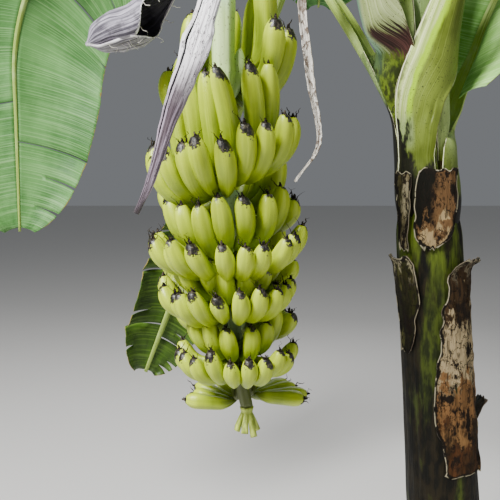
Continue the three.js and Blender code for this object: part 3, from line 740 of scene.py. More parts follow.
# Seams where one old sheath laps over the next: heading at the ground, turn per mm of height and step in mm
SEAMS = [(292, -0.018, 3.2), (214, 0.006, 2.6), (148, -0.010, 3.0), (78, 0.012, 2.8), (12, -0.006, 2.6)]
SEAM_SPREAD = 34  # degrees over which a seam's step falls away
SEAM_EDGE = 1.2
SKIN_DEPTH = 3.2  # the skin lies this deep under the solid's surface, and its relief stands on it
SHEATHS_FROM = 1425  # the living sheaths cover the stem from here up
SUNK = 9  # and the stem is this much thinner under them


def make_stem(paint):
    """The pseudostem, with rings closer together in its flare."""
    z = np.concatenate([np.linspace(0, 300, 40), np.linspace(310, STEM_TOP, 150)])
    zz, aa = crossed(z, np.linspace(0, 360, 120, endpoint=False))
    under = stem_radius(zz) - SUNK * smooth(zz, SHEATHS_FROM - 20, SHEATHS_FROM + 60)
    radius = np.where(zz > THROAT - 12, np.minimum(under, core_radius(zz) - 1), under)
    relief = np.zeros_like(radius)
    for start, swing, high in SEAMS:
        gap = (aa - start - swing * zz - 4 * drift(zz / 90, 0, start)) % 360
        relief += high * np.exp(-gap / SEAM_SPREAD) * (1 - np.exp(-gap / SEAM_EDGE))
    relief += 1.1 * drift(aa / 9, zz / 160, 3) + 0.5 * drift(aa / 3.2, zz / 60, 4)
    low = smooth(zz, 0, 60)
    radius = radius - SKIN_DEPTH + (relief + 1.6 * (1 - low)) * smooth(THROAT - zz, 0, 20)
    piece = Piece().tube(stem_axis(zz) + heading(aa) * radius[..., None], along=zz * MM, across=aa / 360)
    piece.build("stem", [paint], "stem", "pseudostem")


# Leaves

SHEATH_BELOW = 150  # the outer sheaths run down over the stem by this much
OUTER_SHEATH_FOOT = 1600
SHEATHS_END = 1530  # the inner sheaths end at this height, behind the outer ones
SET_BACK = 34  # the top leaf's sheath comes out from behind the front one's wing
LAP = 1.1  # each outer sheath lies this much deeper than the one before it
TUCK_SAMPLE = 6.0  # mm between the samples of a sheath that others are tucked into
TUCK_AHEAD = 10  # points this far ahead of the sample they belong to stay
TUCK_OUT = 90  # and so do points this far outside the sheath
STALK_COLUMNS = 37  # across a leaf's stalk
# How far a sheath reaches round its leaf's back: length along the leaf, then degrees on either side
WRAPS = {
    "leaf_right_back": [(-150, 108, 66), (0, 108, 66), (60, 104, 66), (130, 84, 84)],
    "leaf_front_right": [
        (-150, 99, -24), (0, 99, -24), (60, 98, -14), (115, 96, 2), (200, 100, 62), (390, 128, 98),
    ],
    "leaf_back_left": [(-150, 66, 54), (20, 66, 54), (110, 66, 40), (290, 98, 98)],
}


def leaf_line(leaf):
    """Stations every STEP mm along a leaf, also below its sheath's foot: their lengths, then a tuple of
    place, tangent, lower normal and side."""
    out = heading(leaf.heading)
    s = np.arange(-SHEATH_BELOW, leaf.start + leaf.blade + 1.5 * STEP, STEP, dtype=float)
    in_petiole = np.clip((s - leaf.sheath) / leaf.petiole / leaf.arch, 0, 1)
    in_blade = np.clip((s - leaf.start) / leaf.blade, 0, 1)
    down = np.minimum(1, in_blade / leaf.turn) ** BLADE_BEND
    slope = np.radians(mix(mix(leaf.lean, leaf.rise, in_petiole), leaf.fall, down))[:, None]
    free = np.cos(slope) * out + np.sin(slope) * UP
    stem = unit(np.array([STEM_LEAN, 0, 1.0]))
    t = unit(mix(stem, free, smooth(s, leaf.sheath * 0.5, leaf.sheath * 1.4)[:, None]))
    twist = np.radians(leaf.twist * smooth(in_blade, 0, 0.5))
    side = turned(np.broadcast_to(np.cross(UP, out), t.shape), t, twist)
    low = unit(np.cross(side, t))
    p = np.vstack([[0, 0, 0], np.cumsum(t[:-1] * STEP, axis=0)])
    p = p - p[SHEATH_BELOW // STEP] + stem_axis(leaf.foot) + out * leaf.shell
    return s, (p, t, low, side)


def at(line, s):
    """Place, tangent, lower normal and side at lengths s along a leaf."""
    known, parts = line
    place, *directions = [looked_up(s, known, part) for part in parts]
    return place, *[unit(direction) for direction in directions]


def blade_half(leaf, u):
    x = (u - leaf.peak) / np.where(u < leaf.peak, leaf.peak, 1 - leaf.peak)
    return leaf.half * np.maximum(0.02, 1 - np.abs(x) ** 2.5) ** 0.55


def rib_half(u):
    return mix(RIB_WIDTH, RIB_TIP_WIDTH, np.clip(u, 0, 1) ** 0.8)


def channel(leaf, s):
    """Section of sheath, petiole and midrib at lengths s: radius, wall, half angle in degrees, and how far
    its underside lies below the leaf's line."""
    k = smooth(s, leaf.sheath * 0.5, leaf.sheath + leaf.narrows)
    radius = mix(leaf.shell, PETIOLE_RADIUS, k)
    wall = mix(SHEATH_THICK, PETIOLE_THICK, k)
    angle = mix(SHEATH_HALF_ANGLE, PETIOLE_HALF_ANGLE, k)
    u = (s - leaf.start) / leaf.blade
    rib = rib_half(u)
    k = smooth(u, 0, 0.1)
    return mix(radius, rib, k), mix(wall, rib * 0.95, k), mix(angle, 84, k), k * 1.15 * rib


def section(leaf, line, s):
    """The channel of a leaf at lengths s: centre, tangent, lower normal, side, radius, wall, and the angles
    in radians to which it reaches on either side."""
    p, t, low, side = at(line, s)
    radius, wall, angle, lift = channel(leaf, s)
    z = leaf.foot + s
    down = np.clip(-s, 0, None)
    lapped = mix(leaf.shell, stem_radius(z) + 0.8 - LAP * leaf.number, smooth(down, 0, 45))
    lapped = lapped - 10 * smooth(down, 70, SHEATH_BELOW)
    radius = np.where(s < 0, lapped if leaf.foot < OUTER_SHEATH_FOOT else leaf.shell, radius)
    centre = np.where((s < 0)[:, None], stem_axis(z), p + low * (lift - radius)[:, None])
    if leaf.name == "leaf_top":
        centre[:, 1] += SET_BACK * smooth(s, 10, 110) * (1 - smooth(s, 240, 520))
    left = right = angle
    if leaf.name in WRAPS:
        stops, *reaches = np.array(WRAPS[leaf.name], float).T
        free = smooth(s, stops[-1], stops[-1] + 200)
        left, right = [mix(np.interp(s, stops, reach), angle, free) for reach in reaches]
    return centre, t, low, side, radius, wall, np.radians(left), np.radians(right)


def tuck(grid, leaf, line):
    """Pushes the points of a younger leaf's stalk to the inside of an older leaf's sheath."""
    s = np.arange(-SHEATH_BELOW, leaf.sheath + leaf.narrows * 0.75, TUCK_SAMPLE)
    centre, t, low, side, radius, wall, left, right = section(leaf, line, s)
    points = grid.reshape(-1, 3)
    apart = points[:, None] - centre
    ahead = np.abs(np.sum(apart * t, axis=2))
    k = np.argmin(4 * ahead + np.linalg.norm(apart, axis=2), axis=1)
    ahead = ahead[np.arange(len(points)), k]
    apart = points - centre[k]
    x, y, z = [np.sum(apart * v[k], axis=1) for v in (low, side, t)]
    r, turn = np.hypot(x, y), np.arctan2(y, x)
    beyond = np.maximum(0, np.maximum(-left[k] - turn, turn - right[k]))
    limit = radius[k] - 0.85 * wall[k] + beyond * radius[k] * 3 + TUCK_OUT * smooth(s[k], 170, 320)
    held = (ahead < TUCK_AHEAD) & (r > limit) & (r < radius[k] + TUCK_OUT)
    scale = np.where(held, limit / np.maximum(r, 1), 1)[:, None]
    moved = centre[k] + scale * (low[k] * x[:, None] + side[k] * y[:, None]) + t[k] * z[:, None]
    push = np.where(held[:, None], moved - points, 0).reshape(grid.shape)
    for _ in range(3):
        push[1:-1] = (push[:-2] + 2 * push[1:-1] + push[2:]) / 4
    return grid + push


def make_leafstalk(leaf, line, paints, older):
    """Sheath, petiole and midrib of a leaf as one channelled limb."""
    end = leaf.start + leaf.blade
    below = SHEATH_BELOW if leaf.foot < OUTER_SHEATH_FOOT else leaf.foot - SHEATHS_END
    s = np.concatenate([np.arange(-below, end * 0.35, 10.0), np.linspace(end * 0.35, end, 60)])
    centre, _, low, side, radius, wall, left, right = section(leaf, line, s)
    s, radius, wall, left, right = [v[:, None] for v in (s, radius, wall, left, right)]
    b = np.linspace(-1, 1, STALK_COLUMNS)
    b = b * (1.5 - 0.5 * b * b)
    ragged = 1 + 0.02 * drift(s / 34, np.sign(b) * 3, leaf.number) * smooth(np.abs(b), 0.7, 1)
    turn = mix(-left, right, (b + 1) / 2) * ragged
    thin = 1 - 0.86 * np.abs(b) ** 2.5
    ridge = 0.5 * drift(b * 9, s / 300, leaf.number + 20) + 1.2 * drift(b * 2, s / 170, leaf.number + 30)
    wing = smooth(s, 40, 140) * smooth(np.degrees(left), 70, 90) * (1 - smooth(s, 300, 520))
    outer = radius + ridge + (12 * smooth(-b, 0.45, 1) + 3 * smooth(b, 0.8, 1)) * wing
    outside, inside = [around(centre, low, side, turn, r, r) for r in (outer, outer - wall * thin)]
    grid = np.concatenate([outside, inside[:, ::-1]], axis=1)
    for other, way in older:
        grid = tuck(grid, other, way)
    margin = (turn + left) * radius
    marks = {
        "along": s * MM,
        "across": np.concatenate([b, b[::-1] + 3]),
        "shade": leaf.number * 1.7,
        "edge": np.concatenate([margin, np.full_like(margin, -10)], axis=1) * MM,
    }
    in_sheath = s[:-1] < leaf.sheath + leaf.narrows * 0.8
    near = 1 - np.abs(np.concatenate([b, b[::-1]])) < 0.02
    kinds = np.where(in_sheath, np.where(near & np.roll(near, -1), 2, 1), 0)
    Piece().tube(grid, kinds, **marks).build(leaf.name + "_stalk", paints, "petiole", leaf.name + "_petiole")


def leaflets(leaf, side):
    """Leaflets on one side of a blade: the shares of its length between which each grows, and its droop."""
    tears = [(i + 0.28 * wobble(leaf.number * 7 + i, side + 3)) / STRIPS for i in range(1, STRIPS)]
    tears[HALF_STRIP - 1] = HALFWAY
    stops = [0.012, *tears, 0.994]
    droops = [0.55 + 0.45 * wobble(leaf.number * 11 + i, side * 5) for i in range(STRIPS)]
    return list(zip(stops, stops[1:], droops))


VEIN_STEPS = 22
COLUMN = 9  # mm between the columns of a leaflet's grid
ROOT_TEAR = 1.5  # half width in mm of a tear at the rib
BLADE_THICK = 1.2
PLEAT_STEP = 27  # from one pleat to the next beside the rib
PLEAT_HIGH = 0.8
TEAR_CURL = 7  # a leaflet curls down by this much at a tear to the rib
TEAR_CURL_FADE = 14  # and the curl fades over this much from it


def vein_grid(leaf, line, u, side, droop):
    """Points on a leaflet: rows along the rib at shares u, columns from the rib to the margin."""
    s = leaf.start + u * leaf.blade
    p, t, low, across = at(line, s)
    radius, _, angle, lift = channel(leaf, s)
    turn = np.radians(angle)
    root = p + low * (lift - radius + radius * np.cos(turn))[:, None]
    root = root + across * (side * (radius * np.sin(turn) - 0.8))[:, None]
    length = blade_half(leaf, u)
    down = np.maximum(0, -low[:, 2])
    rows = [root]
    for i in range(VEIN_STEPS):
        q = i / VEIN_STEPS
        tilt = np.radians(mix(24, 8, u) - (26 + 30 * u) * q)
        d = across * (side * np.cos(tilt))[:, None] - low * np.sin(tilt)[:, None]
        d = d + t * (0.16 + 0.3 * q) + low * (droop * q * down)[:, None]
        rows.append(rows[-1] + unit(d) * (length / VEIN_STEPS)[:, None])
    return np.stack(rows, axis=1)


def tear_margin(grid, q, seed):
    """Cuts short tears into a leaflet's grid from the margin inwards, and says which faces stay."""
    count = len(grid) - 1
    keep = np.ones((count, VEIN_STEPS), bool)
    tears = 1 + int(2.99 * abs(wobble(seed, 31)))
    for j in range(tears):
        column = int(count * (j + 0.5 + 0.3 * wobble(seed, j + 40)) / tears)
        row = int(VEIN_STEPS * (0.62 + 0.3 * wobble(seed, j + 50)))
        if 2 < column < count - 2:
            keep[column, row:] = False
            opened = (q[row:] - q[row]) / (1.001 - q[row])
            close = 0.5 * (1 - opened)[:, None] * (grid[column + 1, row:] - grid[column, row:])
            grid[column, row:] += close
            grid[column + 1, row:] -= close
    return keep


def make_blade(leaf, line, paints):
    """The blade of a leaf: leaflets between tears to the rib, with shorter tears in from the margin."""
    piece = Piece()
    gap = ROOT_TEAR / leaf.blade
    q = np.linspace(0, 1, VEIN_STEPS + 1)
    for side in (1, -1):
        for i, (start, end, droop) in enumerate(leaflets(leaf, side)):
            seed = leaf.number * 20 + i * 2 + (side > 0)
            count = max(6, round((end - start) * leaf.blade / COLUMN))
            u = np.linspace(start + gap, end - gap, count + 1)
            grid = vein_grid(leaf, line, u, side, droop)
            normal = unit(np.cross(np.gradient(grid, axis=0), np.gradient(grid, axis=1))) * -side
            uu, qq = crossed(u * leaf.blade, q)
            near = np.minimum(uu - uu[:1], uu[-1:] - uu)
            wave = 5 * drift(uu / 130, qq * 1.5, seed) + 2.2 * drift(uu / 38, qq * 2.5, seed + 1)
            pleats = PLEAT_HIGH * np.sin(uu * TURN / PLEAT_STEP) * smooth(qq, 0, 0.15)
            wave = wave * smooth(qq, 0, 0.5) + pleats
            curl = -TEAR_CURL * np.exp(-near / TEAR_CURL_FADE) * smooth(qq, 0.1, 0.8)
            grid = grid + normal * (wave + curl)[..., None]
            keep = tear_margin(grid, q, seed)
            piece.sheet(grid, keep=keep, flip=side > 0, along=uu * MM, across=qq, shade=seed * 0.37)
    nodes = [leaf.name + "_blade_inner", leaf.name + "_blade_outer"]
    piece.build(leaf.name + "_blade", paints, "blade", *nodes, thick=BLADE_THICK)


# Fruit stalk


def stalk_curve():
    start = stem_axis(STEM_TOP + CLEAR)
    return [start, *STALK_POINTS, BUNCH_TOP + [8, 10, 105], BUNCH_TOP]


def axis_share(z):
    return (z - BUNCH_TOP[2]) / (BUNCH_FOOT[2] - BUNCH_TOP[2])


def axis_point(z):
    x = mix(BUNCH_TOP[0], BUNCH_FOOT[0], np.clip(axis_share(z), 0, 1) ** AXIS_SWING)
    return np.stack([x, BUNCH_TOP[1] + 0 * z, z], axis=-1)


def axis_radius(z):
    return mix(AXIS_TOP_RADIUS, AXIS_FOOT_RADIUS, axis_share(z))


SCAR_ABOVE = 26  # a dropped bract's scar stands this much above its hand
SCAR_HALF = 5  # half its height
SCAR_HIGH = 1.6


def make_stalk(paint):
    """Stalk and bunch axis as one limb, with the crescent scars of the bracts that have dropped."""
    k = np.linspace(0, 1, 90)
    p, t = spline(stalk_curve(), k)
    z = np.linspace(BUNCH_TOP[2] - 8, BUNCH_FOOT[2], 110)
    p = np.vstack([p, axis_point(z)])
    t = np.vstack([t, unit(np.gradient(axis_point(z), axis=0))])
    radius = np.concatenate([mix(STALK_RADIUS, STALK_END_RADIUS, k), axis_radius(z)])
    n = unit(np.cross(unit(np.cross(UP, BUNCH_TOP - stem_axis(STEM_TOP))), t))
    a = full_turn(40)
    relief = 0.7 * np.cos(7 * a)[None, :] + 0.5 * drift(a * 4, p[:, 2:3] / 70, 8)
    on_axis = (np.arange(len(p)) >= len(k))[:, None]
    for hand in HANDS:
        away = (p[:, 2:3] - hand.height - SCAR_ABOVE) / SCAR_HALF
        relief = relief + SCAR_HIGH * (np.exp(-(away**2)) * on_axis)
    r = radius[:, None] - 1 + relief
    grid = around(p, np.cross(t, n), n, a, r, r)
    piece = Piece().tube(grid, along=(np.arange(len(p)) / len(p))[:, None], across=a / TURN)
    piece.build("fruit_stalk", [paint], "stalk", "fruit_stalk_rise", "fruit_stalk_fall", "bunch_axis")


# Fingers

FINGER_SAMPLES = 40
FINGER_SIDES = 20
FINGER_RINGS = 26


def finger_line(length, start, end, reach):
    """A finger's centre line in the plane of its heading, bent so sharply that it stands at the reach."""
    share = (np.arange(FINGER_SAMPLES) + 0.5) / FINGER_SAMPLES

    def trace(sharp):
        slope = start + (end - start) * (1 - (1 - share) ** sharp)
        x, z = [summed(part(slope)) * length / FINGER_SAMPLES for part in (np.cos, np.sin)]
        return x, z, np.concatenate([[start], slope])

    low, high = 1.0, 9.0
    for _ in range(24):
        sharp = (low + high) / 2
        if trace(sharp)[0][-1] > reach:
            low = sharp
        else:
            high = sharp
    return trace((low + high) / 2)


def finger_width(t):
    tip = mix(1, 0.42, np.maximum(0, (t - 0.5) / 0.5) ** 5.5)
    return np.where(t < 0.5, mix(0.38, 1, smooth(t, 0, 0.3)), tip)


def rise(hand, off):
    """How far a hand stands above its own height at an angle from its middle: it hangs in the middle."""
    return hand.tilt * off + hand.sag * ((2 * off / hand.span) ** 2 - 0.3)


def fingers_of(k):
    """The fingers of a hand: rank 0 is the outer and lower one, rank 1 the inner."""
    hand = HANDS[k]
    last = k == len(HANDS) - 1
    droop = LAST_DROOP if last else 0
    deep = CUSHION_DEEP * hand.wide
    root = axis_radius(hand.height) + deep - 4
    for rank in (0,) if last else (0, 1):
        reach = hand.reach - rank * hand.wide * 0.98
        pitch = math.degrees(hand.wide * (1.14 if rank else 1.05) / reach)
        share = hand.inner if rank else OUTER_SHARE
        count = int(hand.span // pitch)
        for i in range(count):
            seed = k * 40 + rank * 20 + i
            off = (i - (count - 1) / 2) * pitch + 0.6 * wobble(seed, 1)
            yield SimpleNamespace(
                seed=seed,
                stand=hand.facing + FAN_ROOT * off,
                heading=hand.facing + FAN_OUT * off + 4 * wobble(seed, 8),
                pitch=pitch,
                height=hand.height + rise(hand, off) + (10 if rank else -9) + 6 * wobble(seed, 2),
                root=root,
                reach=reach - root,
                long=hand.long * share * (1 + 0.07 * wobble(seed, 3)) - deep,
                wide=hand.wide,
                lean=LEAN + 0.07 * wobble(seed, 12),
                start=math.radians(-30 if rank else -58),
                end=math.radians((88 if rank else 84) - droop + 5 * wobble(seed, 5)),
            )


def add_finger(skin, remains, finger):
    """One finger with its ridges and the dried flower at its tip."""
    line = finger_line(finger.long, finger.start, finger.end, finger.reach)
    t = 1 - (1 - np.linspace(0, 1, FINGER_RINGS)[:, None]) ** 1.25
    x, z, slope = [np.interp(t * FINGER_SAMPLES, np.arange(FINGER_SAMPLES + 1), v) for v in line]
    out = heading(finger.heading)
    side = np.cross(UP, out)
    base = axis_point(finger.height) + heading(finger.stand) * finger.root
    centre = base + out * x + UP * z - side * (finger.lean * finger.long * t**1.5)
    back = out * np.sin(slope) - UP * np.cos(slope)
    full = finger.wide * finger_width(t) / 2
    room = (FAN_ROOT * finger.root + FAN_OUT * x) * math.radians(finger.pitch) * 0.97 / 2
    held = np.minimum(full, room)
    a = full_turn(FINGER_SIDES)
    ridges = 0.045 * np.cos(5 * a) + 0.01 * np.cos(10 * a)
    ridges = 1 + ridges * smooth(t, 0.1, 0.3) * smooth(1 - t, 0, 0.12)
    grid = around(centre, back, side, a, mix(held, full, 0.6) * ridges, held * ridges)
    front = np.cos(a + 0.6 * wobble(finger.seed, 6))
    marks = {
        "along": t,
        "across": a / TURN,
        "shade": finger.seed * 0.61,
        "edge": t - 0.915 - 0.05 * wobble(finger.seed, 7) - 0.09 * (1 - front),
    }
    skin.tube(grid, flip=True, end_kinds=(0, 1), **marks)
    add_remains(remains, centre[-1], unit(centre[-1] - centre[-2]), side, full[-1, 0], finger.seed)


def add_remains(piece, tip, along, side, radius, seed):
    """A knob and a few crooked threads of the dried flower on a finger's tip."""
    back = np.cross(along, side)
    a = full_turn(6)
    for i in range(2 + seed % 3):
        knob = i == 0
        thick = radius * (0.6 if knob else 0.19 + 0.07 * wobble(seed, i + 60))
        long = (10 if knob else 15 + 6 * wobble(seed, i + 61)) * (0.6 + radius / 18)
        turn = TURN * i / 4 + wobble(seed, i + 62)
        d = along + (0 if knob else 0.55) * (side * math.cos(turn) + back * math.sin(turn))
        start = tip - along * 2 + (d - along) * radius * 0.9
        rings = []
        for j in range(6):
            k = j / 5
            bend = side * wobble(seed + j, i + 63) + back * wobble(seed + j, i + 64)
            p = start + d * long * k + bend * (0.1 if knob else 0.3) * long * k
            r = thick * (1 - 0.75 * k) * (1 + 0.35 * wobble(seed + j, a + i))
            rings.append(around(p, side, back, a, r, r))
        piece.tube(np.stack(rings))


def add_cushion(piece, k):
    """The cushion that a hand's fingers stand on: a rounded part of a ring round the axis."""
    hand = HANDS[k]
    b = np.linspace(-1, 1, 41)
    end = np.sqrt(np.maximum(0, 1 - np.abs(b) ** 6))[:, None]
    a = full_turn(18)
    inner = axis_radius(hand.height) - 5
    outer = axis_radius(hand.height) + CUSHION_DEEP * hand.wide
    scallops = 0.72 * np.cos(b * hand.span / 12)[:, None]
    r = (inner + outer) / 2 + ((outer - inner) / 2 * end + scallops) * np.cos(a)
    z = 0.68 * hand.wide * (0.35 + 0.65 * end) * np.sin(a) * (1 + 0.16 * np.sin(a)) + 0.04 * hand.wide
    off = hand.span / 2 * b
    z = z + rise(hand, off)[:, None]
    out = heading(hand.facing + FAN_ROOT * off)
    grid = axis_point(hand.height) + out[:, None] * r[..., None] + UP * z[..., None]
    marks = {"along": (b * 0.5)[:, None], "across": a / TURN, "shade": k}
    piece.tube(grid, 2, flip=True, end_kinds=(2, 2), **marks)


def make_hands(paints, style):
    remains = Piece()
    for k in range(len(HANDS)):
        skin = Piece()
        add_cushion(skin, k)
        for finger in fingers_of(k):
            add_finger(skin, remains, finger)
        skin.build(f"fingers_{k + 1}", paints, "fruit", f"hand_{k + 1}")
    remains.build("dried_flowers", [style], "fruit")


def make_stubs(paints):
    """Cut stubs of the last small fingers, which flare from the foot of the axis."""
    piece = Piece()
    top = BUNCH_FOOT - UP * CLEAR
    a = full_turn(12)
    k = np.linspace(0, 1, 9)[:, None]
    plug = [top + UP * dz + heading(np.degrees(a)) * (13 + dz / 4) for dz in (0, -4, -8, -12)]
    piece.tube(np.array(plug), flip=True)
    for i in range(STUBS):
        out = heading(360 * i / STUBS + 8 * wobble(i, 9))
        d = 0.37 * out - 0.93 * UP
        side = np.cross(UP, out)
        long = STUB_LONG + 5 * wobble(i, 4)
        centre = top - UP * 6 + out * 4.5 + d * (long * k) + out * 3 * (k - k * k)
        r = mix(4, 6.7, k) * (1 + 0.05 * np.cos(3 * a + i))
        grid = around(centre, side, np.cross(d, side), a, r, 0.85 * r)
        inset = grid[-1] * 0.25 + (centre[-1] - d * 1.6) * 0.75
        kinds = np.zeros((len(grid), 1), int)
        kinds[-1] = 1
        marks = {"along": 0.5, "across": a / TURN, "shade": i}
        piece.tube(np.concatenate([grid, inset[None]]), kinds, end_kinds=(0, 1), **marks)
    piece.build("tail_stubs", paints, "fruit", "bunch_tail_stubs")


# Dry pieces


def hanging_frame(points, k):
    """Places at shares k along a hanging piece, with the directions of its width and its thickness."""
    p, t = spline(points, k)
    n = unit(np.cross(np.array([1.0, 0, 0]), t))
    return p, np.cross(t, n), n


def hanging_width(k):
    return 0.25 + 0.75 * smooth(k, 0.1, 0.32) * (1 - smooth(k, 0.45, 1))


BRACT_HALF_WIDTH = 21
BRACT_HALF_THICK = 8.6
STRIP_HALF_WIDTH = 7.2
STRIP_FOLD = 2.6  # how far the strip's middle stands out
THREADS = 14
THREAD_LONG = 30
THREAD_RADIUS = 0.9


def make_rolled_bract(paints):
    """The long bract over the bunch: a dry sheet rolled round its own length, creased and pointed."""
    k = np.linspace(0, 1, 120)
    p, b, n = hanging_frame(DRY_BRACT, k)
    p[:, 0] -= BRACT_BOW * np.sin(math.pi * k) ** 2
    kk, aa = crossed(k, np.linspace(-1.25 * math.pi, 1.25 * math.pi, 64))
    size = hanging_width(kk) * (0.86 + 0.1 * aa / math.pi) * (1 + 0.12 * drift(kk * 11, 0, 11))
    crease = 1 + 0.13 * drift(aa * 2.2, kk * 6, 12) + 0.1 * drift(aa * 5, kk * 12, 13)
    crease = crease + 0.07 * drift(aa * 1.3, kk * 34, 14)
    grid = around(p, b, n, aa, BRACT_HALF_WIDTH * size * crease, BRACT_HALF_THICK * size * crease)
    piece = Piece().sheet(grid, along=kk, across=aa / TURN, shade=0.4, flip=True)
    piece.build("rolled_bract", paints, "dry", "dry_bract", thick=1.0)


def make_scaly_strip(paints):
    """The thin dry strip at the bunch's other side: a folded ribbon with scales."""
    k = np.linspace(0, 1, 140)
    p, b, n = hanging_frame(DRY_STRIP, k)
    kk, cc = crossed(k, np.linspace(-1, 1, 15))
    wide = hanging_width(kk)
    x = STRIP_HALF_WIDTH * wide * cc * (1 + 0.12 * drift(cc * 2, kk * 60, 22))
    y = STRIP_FOLD * wide * (1 - cc * cc) + 0.8 * drift(cc * 2, kk * 45, 23)
    y = y * (1 + 0.4 * drift(kk * 14, cc, 24))
    grid = p[:, None] + b[:, None] * x[..., None] + n[:, None] * y[..., None]
    piece = Piece().sheet(grid, along=kk, across=cc, shade=1.3)
    piece.build("scaly_strip", paints, "dry", "dry_strip", thick=1.4)


def make_curled_bract(paints, thread):
    """A cupped bract, pale outside and painted near black inside as the shade in its hollow, its mouth turned
    to the front, with loose threads along its rim."""
    rows = np.array(CURLED_BRACT, float)
    k = np.linspace(0, 1, 70)
    p, t = spline(rows[:, :3], k)
    radius = np.interp(k, np.linspace(0, 1, len(rows)), rows[:, 3])
    radius = (radius * (1 - 0.85 * smooth(k, 0.88, 1) ** 2))[:, None]
    low = unit(np.cross(AWAY, t))
    c, s = math.cos(math.radians(CURL_ROLL)), math.sin(math.radians(CURL_ROLL))
    low, side = low * c + AWAY * s, AWAY * c - low * s
    half = np.radians(mix(CURL_MOUTH_ANGLE, CURL_HALF_ANGLE, smooth(k, 0.5, 0.72)))[:, None]
    kk, cc = crossed(k, np.linspace(-1, 1, 45))
    aa = half * cc
    ragged = 0.05 * drift(kk * 14, np.sign(cc) * 4, 31) * smooth(np.abs(cc), 0.6, 1)
    rolled = 0.07 * cc * smooth(kk, 0.45, 0.7)
    uneven = 1 + rolled + ragged + 0.1 * drift(aa * 1.6, kk * 7, 32) + 0.06 * drift(aa * 4, kk * 16, 33)
    r = radius * uneven - 1
    grid = around(p, low, side, aa, r, r)
    edge = (1 - np.abs(cc)) * half * radius * MM
    piece = Piece().sheet(grid, along=kk, across=aa / math.pi, shade=2.1, edge=edge)
    piece.build("cupped_bract", paints, "dry", "curled_bract", thick=1.6)
    threads = Piece()
    for i in range(THREADS):
        start = grid[24 + 3 * i, 0 if i % 2 else -1]
        rings = []
        for q in np.linspace(0, 1, 9):
            swing = np.array([drift(q * 3, i, seed) for seed in (41, 42, 43)])
            place = start + q * THREAD_LONG * np.array([0.5, 0.1, -0.35]) + swing * 9 * q
            r = THREAD_RADIUS * (1 - 0.6 * q)
            rings.append(around(place, UP, AWAY, full_turn(5), r, r))
        threads.tube(np.stack(rings), shade=i)
    threads.build("bract_threads", [thread], "dry")


OFF_STEM = 2.2  # a dry piece's distance from the stem
PAPER_THICK = 1.2
RIM_LIFT = 2.5  # and how much further its side rims stand off


def make_dry_sheath(sheath, number, paints):
    """A dry piece of an old sheath that lies on the stem."""
    rows = np.array(sheath.rows[::-1], float)
    foot, head = rows[0, 0], rows[-1, 0]
    z = np.linspace(foot, head, max(20, int((head - foot) / 5)))
    start, end, off = [np.interp(z, rows[:, 0], column) for column in rows.T[1:]]
    start = start + sheath.ragged * drift(z / 22, 0, number)
    end = end + sheath.ragged * drift(z / 22, 5, number)
    zz, cc = crossed(z, np.linspace(0, 1, max(14, int(np.mean(end - start) / 2.2))))
    aa = mix(start[:, None], end[:, None], cc)
    top, bottom = smooth(zz, head - 22, head), smooth(zz, foot + 30, foot)
    inward = np.minimum(cc, 1 - cc)
    lift = off[:, None] + sheath.curl * top**2 + RIM_LIFT * np.exp(-inward / 0.05)
    wrinkle = drift(aa / 7, zz / 38, number + 50) + 0.6 * drift(aa / 20, zz / 11, number + 60)
    wrinkle = sheath.wrinkle * (wrinkle + 0.5 * drift(aa / 3, zz / 90, number + 70))
    r = stem_radius(zz) + OFF_STEM + lift + wrinkle
    zz = zz + 5 * drift(cc * 7, 0, number + 80) * (top + bottom)
    sideways = inward * np.radians(end - start)[:, None] * stem_radius(zz)
    edge = np.minimum(sideways, np.minimum(zz - zz[:1], zz[-1:] - zz)) * MM
    grid = stem_axis(zz) + heading(aa) * r[..., None]
    piece = Piece().sheet(grid, along=zz * 0.004, across=cc * 2, shade=number, edge=edge)
    piece.build(sheath.name + "_paper", paints, "dry", sheath.name, thick=PAPER_THICK)


# Surroundings

FLOOR_HALF = 30.0  # half its side


def make_floor():
    corners = [(x * FLOOR_HALF, y * FLOOR_HALF, 0) for x, y in ((-1, -1), (1, -1), (1, 1), (-1, 1))]
    mesh = bpy.data.meshes.new("floor")
    mesh.from_pydata(corners, [], [(0, 1, 2, 3)])
    mesh.materials.append(Paint("floor_plain", 0.9).finish("dedcd8"))
    shown("floor", mesh)


def make_light(name, place, target, size, power):
    lamp = bpy.data.lights.new(name, "AREA")
    lamp.size = size
    lamp.energy = power
    item = shown(name, lamp)
    item.location = place
    x, y, z = np.array(target) - np.array(place)
    item.rotation_euler = (math.pi / 2 - math.atan2(-z, math.hypot(x, y)), 0, math.atan2(y, x) - math.pi / 2)


def make_world():
    world = bpy.data.worlds.new("studio")
    world.use_nodes = True
    sky = world.node_tree.nodes["Background"]
    sky.inputs["Color"].default_value = (0.86, 0.9, 0.95, 1)
    sky.inputs["Strength"].default_value = 0.2
    bpy.context.scene.world = world


def make_camera():
    data = bpy.data.cameras.new("camera")
    data.sensor_width = 36
    data.lens = data.sensor_width / 2 / math.tan(math.radians(CAMERA_FIELD / 2))
    data.clip_end = 100
    camera = shown("camera", data)
    camera.location = CAMERA_PLACE
    camera.rotation_euler = (math.radians(90 - CAMERA_PITCH), 0, 0)
    bpy.context.scene.camera = camera


# The plant


